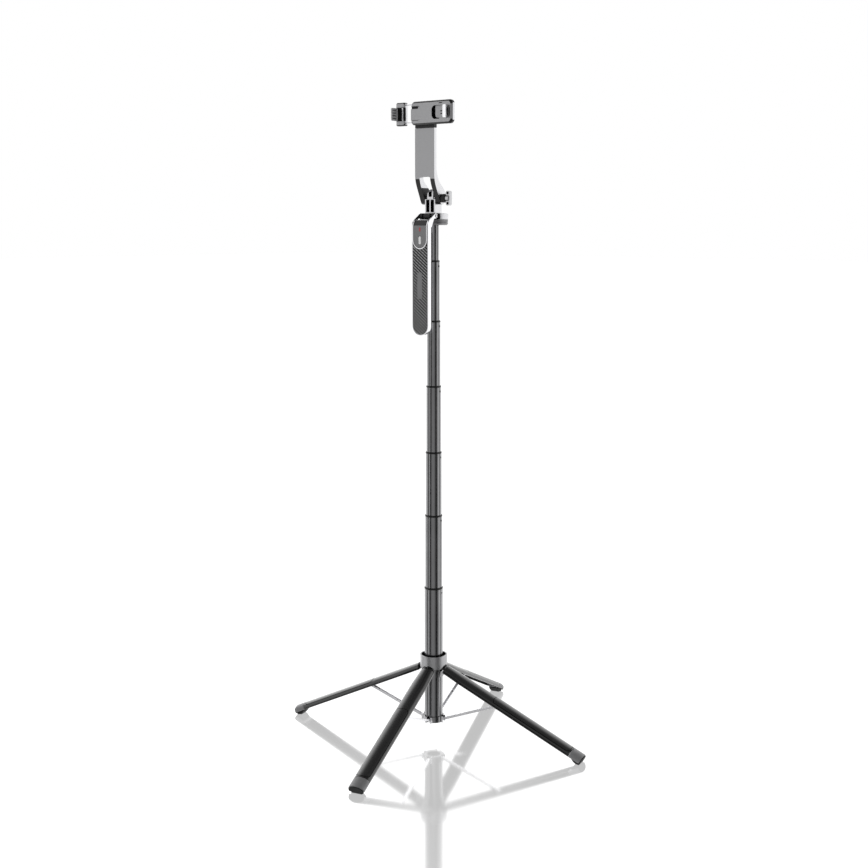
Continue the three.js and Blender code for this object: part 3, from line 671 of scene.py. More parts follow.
def pad_band(name, grow, outer, inner, corner):
    """The pad's shape: a band of the crown with round corners, larger all round by grow."""
    def ring(x):
        over = crown(LEG_HALF + outer, CROWN + outer, PAD_EDGE - 0.12)
        under = crown(LEG_HALF - inner, CROWN - inner, PAD_EDGE - 0.12)
        return [(x, y, z) for y, z in over + under[::-1]]
    band = loft(name, [ring(PAD[0] - grow), ring(PAD[1] + grow)])
    half = LEG_HALF * math.cos(PAD_EDGE) + grow
    outline = rounded(PAD[0] - grow, PAD[1] + grow, -half, half, corner)
    prism = loft("pad_outline", [[(x, y, z) for x, y in outline] for z in (-2, 20)])
    return combine(band, "INTERSECT", prism)


def leg_shell():
    stations = [LEG_START, LEG_START + 0.8] + [LEG_START + 2 + 4 * i for i in range(10)] + [LEG_END]
    outer = []
    for x in stations:
        pinch = 0.8 if x == LEG_START else 0.0
        outer.append((x, section(leg_width(x) - pinch, CROWN - pinch, UNDERSIDE + pinch)))
    obj = dressed(along("leg_cover", outer), leg_plastic)
    inner = []
    for x in [LEG_START + LEG_WALL] + stations[3:-1] + [LEG_END + 1]:
        inner.append((x, section(leg_width(x) - LEG_WALL, CROWN - 2.3, UNDERSIDE - 4, 0.5)))
    # The hollow's faces are painted dark as shade.
    carve(obj, painted_shade, along("hollow", inner))
    ceiling = CREST - 2
    knuckle = leg_side_plate(
        "knuckle", [(0, -2), (2.4, -0.6), (16, -0.6), (16, ceiling), (3, ceiling), (0, 2)], 6)
    weld(obj, leg_plastic, knuckle)
    weld(obj, leg_plastic, bar("knuckle_eye", "y", 2.2, -6, 6, (0, 0), sides=48))
    x0, x1 = STRUT_PIVOT - 3.5, STRUT_PIVOT + 3.5
    for near in (3.1, -4.9):
        far = near + 1.8
        rib = loft("rib", [
            [(x0, near, z), (x1, near, z), (x1, far, z), (x0, far, z)] for z in (-2, ceiling)])
        weld(obj, leg_plastic, rib)
    cut(obj, bar("pin_bore", "y", LEG_PIN_BORE, -8, 8, (0, 0), sides=24))
    cut(obj, bar("strut_bore", "y", 1.3, -4.7, 4.7, (STRUT_PIVOT, 0), sides=24))
    # The pad's seat is cut with painted shade on its faces, a dark line round the pad.
    carve(obj, painted_shade, pad_band("pad_seat", 0.6, 1.0, 1.5, 5.6))
    return soften(obj, 0.3, 2, angle=40)


def leg_pad():
    obj = dressed(pad_band("leg_pad", -0.35, 0.1, 1.1, 4.8), pad_plastic)
    return soften(obj, 0.4, 3, angle=40)


def foot_cap():
    """The foot's grey cap, which goes on with the leg's section and is cut square at its end."""
    outline = section(LEG_HALF, CROWN, UNDERSIDE)
    obj = dressed(along("foot_cap", [(LEG_END + 0.3, outline), (CAP_END, outline)]), foot_plastic)
    return soften(obj, 0.8, 4, angle=30)


def foot_sole():
    """A rubber boot: a plate over the cap's end and a level, grooved wedge under it."""
    top = UNDERSIDE - 0.3
    face = section(LEG_HALF - 1, CROWN - 1, top - 1)
    obj = dressed(along("foot_sole", [(CAP_END + 0.3, face), (SOLE_END, face)]), rubber)
    level = [in_leg(reach, 0) for reach in SOLE_CONTACT]
    outline = [(CAP_END - 13, top), (CAP_END - 14, top - 1.5), *level, (SOLE_END, top - 1), (SOLE_END, top)]
    wedge = leg_side_plate("wedge", outline, SOLE_HALF)
    toe, toe_low = SOLE_HALF - SOLE_TAPER, SOLE_TAPER_TOP - SOLE_TAPER
    taper = [
        (SOLE_HALF, top + 1), (-SOLE_HALF, top + 1), (-SOLE_HALF, SOLE_TAPER_TOP), (-toe, toe_low),
        (toe, toe_low), (SOLE_HALF, SOLE_TAPER_TOP),
    ]
    combine(wedge, "INTERSECT", along("taper", [(CAP_END - 20, taper), (SOLE_END + 10, taper)]))
    weld(obj, rubber, wedge)
    for reach in TREADS:
        near, far = reach - 0.3, reach + 0.3
        groove = [in_leg(near, -0.5), in_leg(far, -0.5), in_leg(far, 0.6), in_leg(near, 0.6)]
        carve(obj, rubber, leg_side_plate("tread", groove, 12))
    return soften(obj, 0.25, 2)


def strut(length):
    """A pressed channel with an eye and a cross pin at each end; x runs from the outer pivot."""
    inset = 2.6
    outline = []
    for centre, start, sign in ((0, 90, 1), (length, -90, -1)):
        for i in range(17):
            angle = math.radians(start + 180 * i / 16)
            outline.append((centre + STRUT_EYE * math.cos(angle), STRUT_EYE * math.sin(angle)))
        ends = (inset, length - inset) if sign > 0 else (length - inset, inset)
        outline += [(x, -sign * STRUT_WAIST) for x in ends]
    obj = dressed(leg_side_plate("strut", outline, STRUT_HALF), strut_metal)
    channel = rounded(5, length - 5, -1.55, 1.55, 1.5)
    for z0, z1 in ((-3, 0.2), (1.0, 3)):
        tool = loft("channel", [[(x, y, z) for x, y in channel] for z in (z0, z1)])
        carve(obj, strut_metal, tool)
    soften(obj, 0.25, 2)
    for x in (0, length):
        weld(obj, steel, bar("strut_pin", "y", 1.0, -4.4, 4.4, (x, 0), sides=32, tip=0.2))
    return obj


def copies(make, names):
    """One mesh, built once and copied for each name."""
    first = make()
    for name in names[1:]:
        obj = first.copy()
        obj.data = first.data.copy()
        obj.name = name
        bpy.context.scene.collection.objects.link(obj)
        yield obj
    first.name = names[0]
    yield first


def each_leg(make, prefix, place):
    order = list(LEGS[1:]) + [LEGS[0]]
    names = [f"{prefix}_{side}_formed" for side in LEGS]
    for obj, side in zip(list(copies(make, names)), order):
        body = f"strut_{side}" if prefix == "strut" else f"leg_{side}"
        settle(obj, body, [f"{prefix}_{side}"], Matrix.Rotation(leg_azimuth(side), 4, "Z") @ place)


leg_place = Matrix.Translation((HINGE_R, 0, HINGE_Z)) @ Matrix.Rotation(DROOP, 4, "Y")
each_leg(leg_shell, "leg_shell", leg_place)
each_leg(leg_pad, "leg_pad", leg_place)
each_leg(foot_cap, "foot_cap", leg_place)
each_leg(foot_sole, "foot_sole", leg_place)
strut_run = STRUT_R - HINGE_R
strut_rise = STRUT_Z - COLLAR_PIN_Z
strut_turn = math.pi - math.atan2(strut_rise, strut_run)
strut_place = Matrix.Translation((STRUT_R, 0, STRUT_Z)) @ Matrix.Rotation(strut_turn, 4, "Y")
each_leg(lambda: strut(math.hypot(strut_run, strut_rise)), "strut", strut_place)
for side in LEGS:
    pin = frame["nodes"][f"leg_pin_{side}"]
    pin.data.materials.clear()
    pin.data.materials.append(steel)


# ---- head ----
NECK_BORE = 8.3              # of the base ring, round the head's stud
SHOULDER_LOW = 856.0         # heights on the neck's shoulder and tongue
SHOULDER = 858.0
TONGUE_LOW = 850.0
TONGUE_TURN = 866.0
ARCH_FOOT = 840.0
ARCH_SPRING = 861.0
ARCH_TURN = 868.6


def head_base():
    low, high = node_box("head_base")
    radius = high.x
    profile = [
        (NECK_BORE, low.z), (radius - 1.8, low.z), (radius - 0.3, low.z + 1.6), (radius, low.z + 2.2),
        (radius, low.z + 3.6), (radius - 0.5, low.z + 4.0), (radius - 0.5, low.z + 4.7),
        (radius, low.z + 5.1), (radius, high.z - 0.3), (radius - 0.3, high.z), (NECK_BORE, high.z),
    ]
    obj = dressed(turned("head_base_ring", profile, hollow=True), base_metal)
    settle(obj, "tube_7", ["head_base"])


def head_collar():
    low, high = node_box("head_collar")
    radius = high.x
    stud = 6.4
    face = node_box("head_base")[1].z + 0.3
    profile = [
        (stud - 0.3, low.z), (stud, low.z + 0.3), (stud, face), (radius - 0.3, face), (radius, face + 0.3),
        (radius, high.z - 1.6), (radius - 0.5, high.z - 0.7), (radius - 1.6, high.z), (0.5, high.z),
    ]
    obj = dressed(turned("head_collar_turned", profile), collar_metal)
    front = -low.y if -low.y < radius - 1 else 8.8
    carve(obj, plastic_and_shade, block("collar_flat", -30, 30, front, 40, face - 5, high.z + 5))
    soften(obj, 0.4, 2, angle=40)
    settle(obj, "head", ["head_collar"])


def hinge_block():
    low, high = node_box("hinge_block")
    forward, up = -GRIP_PIVOT.y, GRIP_PIVOT.z
    half = high.x
    back = -high.y
    outline = [
        (back, low.z), (forward + 3.0, low.z), (forward + 3.9, up - 1.5), (forward + 3.6, up + 1.6),
        (forward + 2.0, high.z), (back, high.z),
    ]
    obj = dressed(side_plate("hinge_lugs", outline, -half, half), plastic_and_shade)
    for centre in (-7.6, 7.6):
        x0, x1 = centre - 1.6, centre + 1.6
        carve(obj, plastic_and_shade, block("relief", x0, x1, forward - 1, 30, low.z + 1.6, high.z + 5))
    cut(obj, bar("hinge_bore", "x", 1.8, -half - 1, half + 1, (-forward, up), sides=32))
    soften(obj, 0.45, 2)
    settle(obj, "head", ["hinge_block"])


def grip_pin():
    """The grip's pivot screw: a domed head with a socket at each end."""
    reach = node_box("grip_pin")[1].x
    obj = dressed(bar("grip_screw", "x", 1.5, -reach + 0.5, reach - 0.5, GRIP_AXIS, tip=0.1), steel)
    for sign in (-1, 1):
        ends = sorted((sign * (reach - 0.95), sign * (reach + 0.05)))
        weld(obj, chrome, bar("screw_head", "x", 2.5, *ends, GRIP_AXIS, tip=0.35))
        socket = sorted((sign * (reach - 0.5), sign * (reach + 1)))
        # The socket is painted dark as shade.
        carve(obj, painted_shade, bar("socket", "x", 1.2, *socket, GRIP_AXIS, sides=6))
    settle(obj, "head", ["grip_pin"])


def neck():
    """A shoulder on the collar, with a tongue that ends in a pointed arch, and the tilt's boss."""
    low, high = node_box("neck")
    foot, top = low.z, high.z
    half = high.x
    shoulder = [
        (-7, foot), (8.5, foot), (8.5, SHOULDER_LOW), (6.5, SHOULDER), (-5, SHOULDER), (-7, SHOULDER_LOW)]
    obj = dressed(side_plate("neck_cast", shoulder, -half, half), bright_metal_and_highlight)
    outline = [
        (-6, TONGUE_LOW), (8.2, TONGUE_LOW), (8.2, TONGUE_TURN), (5.5, top), (-2, top), (-6, TONGUE_TURN)]
    tongue = side_plate("tongue", outline, -5.7, 5.7)
    arch = [(-7, ARCH_FOOT), (7, ARCH_FOOT)]
    arch += curve((5.9, ARCH_SPRING), (4.6, ARCH_TURN), (1.6, top), 10)
    arch += curve((-1.6, top), (-4.6, ARCH_TURN), (-5.9, ARCH_SPRING), 10)
    combine(tongue, "INTERSECT", front_plate("arch", arch, -20, 20))
    weld(obj, bright_metal_and_highlight, tongue)
    weld(obj, bright_metal_and_highlight, bar("boss", "x", 5, -half, half, TILT_AXIS, sides=64))
    # The slots' faces are painted dark as shade.
    for x0, x1 in ((-7.8, -1.1), (1.1, 7.8)):
        slot = rounded(x0, x1, foot + 1.2, SHOULDER_LOW - 0.6, 0.8)
        carve(obj, painted_shade, front_plate("slot", slot, 3.0, 12))
        rear = rounded(x0, x1, foot + 2, SHOULDER_LOW - 3, 0.8)
        carve(obj, painted_shade, front_plate("rear_slot", rear, -12, -4))
    slot = rounded(-3.2, 3.2, SHOULDER + 1.6, SHOULDER + 9.6, 1.4, 2.2)
    carve(obj, painted_shade, front_plate("tongue_slot", slot, 3.5, 12))
    soften(obj, 0.4, 2)
    settle(obj, "head", ["neck"])


ARM_LOW, ARM_HIGH = node_box("arm")
ARM_HALF = ARM_HIGH.x
ARM_TOP = ARM_HIGH.z
ARM_FRONT = -ARM_LOW.y
ARM_THICKNESS = 5.0
ARM_BEND = 884.7
ARM_BORE = 2.8               # of the tilt screw's hole, through the arm, the barrel and the wing
FORK_HALF = 10.4
WINDOW_SPLIT = 873.0         # the window's inner faces carry a painted highlight above this and painted shade below
WINDOW_TOP = 889.0
# Below this, the arm's faces that don't face sideways are painted black as shade.
PAINTED_SHADE_BELOW = 886.5


def arm():
    """A flat bar that bends back at its foot, where a window makes it a fork round the neck."""
    back = ARM_FRONT - ARM_THICKNESS
    outline = [(ARM_FRONT, ARM_TOP), (back, ARM_TOP)]
    outline += curve((back, 904), (back - 0.6, 891), (8.6, 881), 10)
    outline += curve((6.6, 879), (0, 873.5), (-4.6, 867), 6)
    outline += curve((-6.8, 862.5), (-8.3, 853), (-1.8, 849.2), 8)
    outline += curve((0.4, 848.3), (5.2, 847.6), (7.4, 851.6), 6)
    outline += curve((17.8, 876), (ARM_FRONT, ARM_BEND), (ARM_FRONT, 893), 10)
    obj = dressed(side_plate("arm_bent", outline, -ARM_HALF, ARM_HALF), satin_metal)
    # The lower window's inner faces are painted black as shade; the upper window's are painted bright as
    # highlight.
    window = front_plate("window", rounded(-FORK_HALF, FORK_HALF, 820, WINDOW_SPLIT + 0.01, 0.1), -20, 40)
    carve(obj, plastic_and_shade, window)
    upper = rounded(-FORK_HALF, FORK_HALF, WINDOW_SPLIT, WINDOW_TOP, 0.1, 2.6)
    carve(obj, bright_metal_and_highlight, front_plate("window", upper, -20, 40))
    for sign in (-1, 1):
        ends = sorted((sign * (ARM_HALF - 1), sign * (ARM_HALF + 1)))
        carve(obj, satin_metal, bar("seat", "x", 5.4, *ends, TILT_AXIS))
    cut(obj, bar("bolt_bore", "x", ARM_BORE, -ARM_HALF - 1, ARM_HALF + 1, TILT_AXIS))
    soften(obj, 0.5, 3, angle=40)
    # Painted shade: lower faces that don't face sideways are black. Painted highlight: the outer side faces
    # are bright.
    paint(obj, plastic_and_shade, lambda centre, normal: centre.z < PAINTED_SHADE_BELOW and abs(normal.x) < 0.6)
    paint(obj, bright_metal_and_highlight, lambda centre, normal: abs(normal.x) > 0.6 and abs(centre.x) > FORK_HALF + 1)
    settle(obj, "arm", ["arm"])


def tilt_bolt():
    low, high = node_box("tilt_bolt")
    obj = dressed(bar("tilt_screw", "x", 2.5, low.x + 1, high.x, TILT_AXIS, tip=0.2), steel)
    weld(obj, chrome, bar("bolt_head", "x", 4.9, low.x, -ARM_HALF + 0.7, TILT_AXIS, tip=0.5))
    # The socket is painted dark as shade.
    carve(obj, painted_shade, bar("socket", "x", 2.2, low.x - 1, low.x + 1.5, TILT_AXIS, sides=6))
    settle(obj, "arm", ["tilt_bolt"])


def ribbed_bar(name, radius, depth, ribs, stations):
    """A round bar along X with ribs along it; stations are (x, shrink)."""
    rings = []
    for x, shrink in stations:
        ring = []
        for i in range(ribs * 6):
            angle = 2 * math.pi * i / (ribs * 6)
            r = radius - shrink - depth * (0.5 + 0.5 * math.cos(angle * ribs)) ** 2
            ring.append((x, TILT.y + r * math.cos(angle), TILT.z + r * math.sin(angle)))
        rings.append(ring)
    return loft(name, rings)


def knob_barrel():
    low, high = node_box("knob_barrel")
    stations = [(low.x, 0.6), (low.x + 0.6, 0), (high.x - 0.6, 0), (high.x, 0.6)]
    obj = dressed(ribbed_bar("knob_barrel_ribbed", 6.5, 0.5, 18, stations), plastic_and_shade)
    cut(obj, bar("barrel_bore", "x", ARM_BORE, low.x - 1, high.x + 1, TILT_AXIS, sides=32))
    settle(obj, "knob", ["knob_barrel"])


def wing_knob():
    low, high = node_box("wing_knob")
    forward, up = -TILT.y, TILT.z
    thick = 3.0
    x0, x1 = low.x, high.x
    outline = rounded(x0, x1, low.z, high.z, 2.9)
    wing = front_plate("wing_knob_plated", outline, forward - thick, forward + thick)
    obj = dressed(wing, knob_metal)
    weld(obj, knob_metal, bar("wing_hub", "x", 5.2, x0, x1 - 1.2, TILT_AXIS, tip=0.4))
    # The pockets and the bore are lined with painted shade.
    for z0, z1 in ((low.z + 1.5, up - 5.6), (up + 5.6, high.z - 1.5)):
        hollow = rounded(x0 + 1.5, x1 - 1.5, z0, z1, 1.2)
        for back, front in ((forward + 1.1, forward + 6), (forward - 6, forward - 1.1)):
            carve(obj, painted_shade, front_plate("wing_pocket", hollow, back, front))
    carve(obj, painted_shade, bar("wing_bore", "x", ARM_BORE, x0 - 1, x0 + 3.3, TILT_AXIS, sides=32))
    soften(obj, 0.4, 3)
    settle(obj, "knob", ["wing_knob"])


head_base()
head_collar()
hinge_block()
grip_pin()
neck()
arm()
tilt_bolt()
knob_barrel()
wing_knob()

# ---- phone clamp ----
CLAMP_LOW, CLAMP_HIGH = node_box("clamp_body")
CLAMP_BACK = -CLAMP_HIGH.y
CLAMP_FRONT = 30.0
POCKET_HALF = 9.9
POCKET_LOW, POCKET_HIGH = CLAMP_Z - POCKET_HALF, CLAMP_Z + POCKET_HALF
JAW_HALF = 9.4
JAW_FORWARD = -pivot("fixed_jaw_fold").y
JAW_PIN_R = 1.0
ROD_OFFSET = 13.5            # of the slider's two rods, above and below the clamp's middle
ROD_FORWARD = 26.0
TONGUE = (23.5, 27.3)        # back and front of the tongue round which a jaw closes


def chamfered_plate(name, x0, x1, z0, z1, corner, back, front, chamfer, material, edge_material):
    """A plate with round corners whose front and back rims are chamfered in another finish."""
    def ring(inset, forward):
        turn = max(corner - inset * 0.5, 0.3)
        return facing(rounded(x0 + inset, x1 - inset, z0 + inset, z1 - inset, turn), forward)
    rings = [ring(chamfer * 0.5, back), ring(0, back + chamfer * 0.5), ring(0, front - chamfer),
             ring(chamfer, front)]
    obj = dressed(loft(name, rings), material)
    paint(obj, edge_material, lambda centre, normal: abs(normal.y) < 0.95 and abs(normal.z) > 0.12)
    return obj


def clamp_mount():
    low, high = node_box("clamp_mount")
    back = -high.y
    face = -low.y - 3.4 if -low.y > CLAMP_BACK else -low.y  # without the stud, where that is in the box
    face = min(face, CLAMP_BACK - 0.3)
    obj = front_plate("clamp_mount_block", rounded(low.x, high.x, low.z, high.z, 1.0, 3.0), back, face)
    dressed(obj, plastic_and_shade)
    stud = bar("stud", "y", 5.0, -CLAMP_BACK - 2.6, -face + 0.5, (0, CLAMP_Z), tip=0.3)
    weld(obj, plastic_and_shade, stud)
    soften(obj, 0.4, 2)
    settle(obj, "arm", ["clamp_mount"])


def jaw_pin(joint):
    """The upright pin of a jaw's hinge."""
    place = (pivot(joint).x, -JAW_FORWARD)
    return bar("jaw_pin", "z", JAW_PIN_R, POCKET_LOW - 1, POCKET_HIGH + 1, place, sides=24)


def clamp_body():
    left, right = CLAMP_LOW.x, CLAMP_HIGH.x
    low, high = CLAMP_LOW.z, CLAMP_HIGH.z
    obj = chamfered_plate(
        "clamp_bar", left, right, low, high, 6.5, CLAMP_BACK, CLAMP_FRONT, 2.5, clamp_paint, plastic_and_shade)
    # Painted highlight: the faces turned to +X, towards the light, are bright.
    paint(obj, bright_metal_and_highlight, lambda centre, normal: normal.x > 0.95)
    # The pocket, the tongue's slots, the upper slot and the rod and stud bores are lined with painted
    # shade.
    pocket = rounded(21, 56, POCKET_LOW, POCKET_HIGH, 6.5)
    carve(obj, painted_shade, front_plate("pocket", pocket, 24.2, 40))
    tongue = rounded(26.4, 47, CLAMP_Z - 8.1, POCKET_HIGH + 1, 4.0, 1.0)
    weld(obj, clamp_paint, front_plate("tongue", tongue, *TONGUE))
    weld(obj, clamp_paint, block("tongue_foot", 33, 47, *TONGUE, POCKET_LOW - 1, CLAMP_Z))
    for z in (-2.4, 1.4):
        slot = block("tongue_slot", 36, 42, 25.8, 40, CLAMP_Z + z - 0.8, CLAMP_Z + z + 0.8)
        carve(obj, painted_shade, slot)
    slot = block("upper_slot", 35, 41.5, 29.2, 40, CLAMP_Z + 12.4, CLAMP_Z + 13.6)
    carve(obj, painted_shade, slot)
    # The groove round the recess is lined black as a painted shadow line.
    groove = rounded(left - 20, -1.1, POCKET_LOW - 0.8, POCKET_HIGH + 0.8, 5.3)
    carve(obj, plastic_and_shade, front_plate("recess_shadow_groove", groove, 27.9, 40))
    recess = front_plate("recess", rounded(left - 20, -2, POCKET_LOW, POCKET_HIGH, 4.5), 26, 28.9)
    combine(recess, "INTERSECT", block("recess_end", left, 0, 20, 40, low, high))
    weld(obj, clamp_paint, recess)
    # The recess's slot is lined with painted shade, a dark shadow line under the rim.
    shade = rounded(left - 20, -6, POCKET_HIGH - 3.2, POCKET_HIGH - 0.2, 1.2)
    carve(obj, painted_shade, front_plate("recess_slot", shade, 26.9, 40))
    for offset in (-ROD_OFFSET, ROD_OFFSET):
        axis = (-ROD_FORWARD, CLAMP_Z + offset)
        carve(obj, painted_shade, bar("rod_bore", "x", 1.7, left - 1, 33, axis, sides=32))
    stud = (0, CLAMP_Z)
    carve(obj, painted_shade, bar("stud_bore", "y", 5.3, -CLAMP_BACK - 2.9, -CLAMP_BACK + 1, stud))
    soften(obj, 0.25, 2)
    weld(obj, steel, jaw_pin("fixed_jaw_fold"))
    settle(obj, "clamp", ["clamp_body"])


def jaw_slider():
    box_low, box_high = node_box("jaw_slider")
    left, right = box_low.x, -32.0
    low, high = box_low.z, box_high.z
    obj = chamfered_plate(
        "slide_block", left, right, low, high, 2.6, CLAMP_BACK, CLAMP_FRONT, 1.5, clamp_paint, plastic_and_shade)
    # Painted highlight: the faces turned to +X, towards the light, are bright.
    paint(obj, bright_metal_and_highlight, lambda centre, normal: normal.x > 0.95)
    # The window is lined with painted shade.
    carve(obj, painted_shade, block(
        "slide_window", left - 1, right + 1, TONGUE[1], 40, POCKET_LOW, POCKET_HIGH))
    soften(obj, 0.3, 2)
    strip = rounded(-38.8, -36.2, CLAMP_Z - JAW_HALF, CLAMP_Z + JAW_HALF, 0.5)
    weld(obj, chrome, soften(front_plate("slide_strip", strip, 26.8, 28.6), 0.2, 2))
    for offset in (-ROD_OFFSET, ROD_OFFSET):
        axis = (-ROD_FORWARD, CLAMP_Z + offset)
        weld(obj, chrome, bar("rod", "x", 1.2, right - 4, box_high.x, axis, sides=32, tip=0.2))
    weld(obj, steel, jaw_pin("sliding_jaw_fold"))
    settle(obj, "slider", ["jaw_slider"])


def jaw(node, material, ribs_towards=0, ribs=0):
    """A flip-out flap, its hinge knuckle and, where it has them, grip ribs on one face."""
    x, forward = pivot(f"{node}_fold").x, JAW_FORWARD
    reach = -node_box(node)[0].y
    turn = 2.2
    outline = [(forward, -JAW_HALF)]
    outline += curve((reach - turn, -JAW_HALF), (reach, -JAW_HALF), (reach, -JAW_HALF + turn), 6)
    outline += curve((reach, JAW_HALF - turn), (reach, JAW_HALF), (reach - turn, JAW_HALF), 6)
    outline += [(forward, JAW_HALF)]
    points = [(f, CLAMP_Z + z) for f, z in outline]
    obj = dressed(side_plate(f"{node}_flap", points, x - 1.0, x + 1.0), material)
    for i in range(ribs):
        z = CLAMP_Z + JAW_HALF * 1.72 * ((i + 0.5) / ribs - 0.5)
        depth = x + ribs_towards * 0.45
        ends = sorted((depth, depth + ribs_towards * 3))
        # The grooves are painted dark as shade.
        carve(obj, painted_shade, block(
            "jaw_groove", *ends, forward + 2.8, reach - 1.0, z - 0.5, z + 0.5))
    axis = (x, -forward)
    weld(obj, material, bar("knuckle", "z", 1.55, CLAMP_Z - JAW_HALF, CLAMP_Z + JAW_HALF, axis, sides=32))
    cut(obj, bar("knuckle_bore", "z", 1.25, CLAMP_Z - 12, CLAMP_Z + 12, axis, sides=32))
    soften(obj, 0.2, 2)
    settle(obj, node, [node])


clamp_mount()
clamp_body()
jaw_slider()
jaw("fixed_jaw", chrome)
jaw("sliding_jaw", jaw_rubber, ribs_towards=1, ribs=4)

# ---- grip and remote ----
FRAME_LOW, FRAME_HIGH = node_box("grip_frame")
GRIP_HALF = FRAME_HIGH.x
GRIP_BOTTOM = FRAME_LOW.z
GRIP_BACK = 24.0
GRIP_FRONT = 32.0
GRIP_TOP = 822.0
GRIP_WALL = 1.4
GRIP_CURVE = GRIP_HALF - 1
GRIP_DRAFT = 1.2             # how much smaller the tray is at its back
GRIP_STEPS = 20
COVER_BACK = GRIP_BACK + GRIP_WALL + 0.3
COVER_FRONT = GRIP_FRONT + 0.8
BEZEL_LOW, BEZEL_HIGH = node_box("remote_bezel")
LAMP_LOW, LAMP_HIGH = 807.9, 813.7
CELL_Z = 806.0


def shield(inset, top):
    """Outline of the remote's end: a wide rectangle on a half circle."""
    half = BEZEL_HIGH.x - inset
    return rounded(-half, half, BEZEL_LOW.z + inset, top, half, 1, steps=18)


def grip_frame():
    """The silver tray, drafted to its back, and the two ears that carry it on the pivot screw."""
    wall = GRIP_WALL

    def shape(inset, top, upper):
        half, low = GRIP_HALF - inset, GRIP_BOTTOM + inset
        return rounded(-half, half, low, top, GRIP_CURVE - inset, upper, steps=GRIP_STEPS)
    outline = shape(0, GRIP_TOP, 2)
    hollow = shape(wall, GRIP_TOP + 9, 1)
    tray = [(shape(GRIP_DRAFT, GRIP_TOP, 2), GRIP_BACK), (outline, GRIP_FRONT - 2.6), (outline, GRIP_FRONT)]
    obj = dressed(loft("grip_tray", [facing(points, forward) for points, forward in tray]), chrome)
    carve(obj, plastic_and_shade, front_plate("tray_hollow", hollow, GRIP_BACK + wall, GRIP_FRONT + 5))
    forward, up = -GRIP_PIVOT.y, GRIP_PIVOT.z
    ear = [(GRIP_BACK, GRIP_TOP - 8), (GRIP_FRONT, GRIP_TOP - 8), (GRIP_FRONT, GRIP_TOP - 3)]
    ear += curve((GRIP_FRONT - 0.6, GRIP_TOP - 0.6), (27, GRIP_TOP + 4.6), (GRIP_BACK - 1, GRIP_TOP + 7), 6)
    ear += [(forward + 3, up + 3)]
    ear += curve((forward + 1.6, up + 3.6), (forward - 4, up + 4), (forward - 3.6, up - 0.4), 8)
    ear += curve((forward - 3.4, up - 1.6), (forward - 2.6, up - 4.2), (forward + 1, up - 3.8), 6)
    ear += [(18.4, up - 4.2)]
    for x0, x1 in ((GRIP_HALF - wall, GRIP_HALF), (-GRIP_HALF, wall - GRIP_HALF)):
        weld(obj, chrome, side_plate("ear", ear, x0, x1))
    cut(obj, bar("ear_bore", "x", 1.8, -20, 20, GRIP_AXIS, sides=32))
    back_rib = rounded(-9, 9, GRIP_BOTTOM + 12, GRIP_TOP - 16, 8.9, 3)
    carve(obj, plastic_and_shade, front_plate("tray_back", back_rib, GRIP_BACK - 5, GRIP_BACK + 0.5))
    soften(obj, 0.3, 3, angle=36)
    settle(obj, "grip", ["grip_frame"])


def grip_cover():
    half = GRIP_HALF - GRIP_WALL - 0.3
    top = BEZEL_LOW.z + 12
    low = GRIP_BOTTOM + GRIP_WALL + 0.3
    corner = GRIP_CURVE - GRIP_WALL - 0.3

    def ring(inset, forward):
        width = half - inset
        return facing(
            rounded(-width, width, low + inset, top, corner - inset, 0.5, steps=GRIP_STEPS), forward)
    front = COVER_FRONT
    rings = [ring(0, COVER_BACK), ring(0, front - 1.0), ring(0.12, front - 0.6), ring(0.45, front - 0.22),
             ring(1.1, front)]
    obj = dressed(loft("carbon_cover", rings), carbon)
    carve(obj, plastic_and_shade, front_plate("remote_notch", shield(-0.3, 860), 20, 40))
    core = rounded(-half + 3, half - 3, low + 3, BEZEL_LOW.z - 8, GRIP_HALF - 6, 0.5)
    carve(obj, plastic_and_shade, front_plate("cover_hollow", core, 20, GRIP_FRONT - 1.6))
    soften(obj, 0.15, 2, angle=50)
    settle(obj, "grip", ["grip_cover"])


def cover_plate():
    """A blank plate let into the middle of the cover."""
    outline = rounded(-4.6, 4.6, 706, 746, 1.6)
    obj = front_plate("cover_plate", outline, COVER_FRONT - 0.6, COVER_FRONT + 0.25)
    soften(dressed(obj, remote_paint), 0.2, 2)
    settle(obj, "grip", [])


def remote_bezel():
    obj = dressed(front_plate("bezel_trim", shield(0, BEZEL_HIGH.z), COVER_BACK, GRIP_FRONT + 1), chrome)
    carve(obj, chrome, front_plate("bezel_inner", shield(1.7, 850), 20, 40))
    slant = [(34, 814), (34, 840), (24, 840), (29.6, 824.6)]
    carve(obj, chrome, side_plate("bezel_slant", slant, -30, 30))
    soften(obj, 0.45, 3, angle=36)
    settle(obj, "grip", ["remote_bezel"])


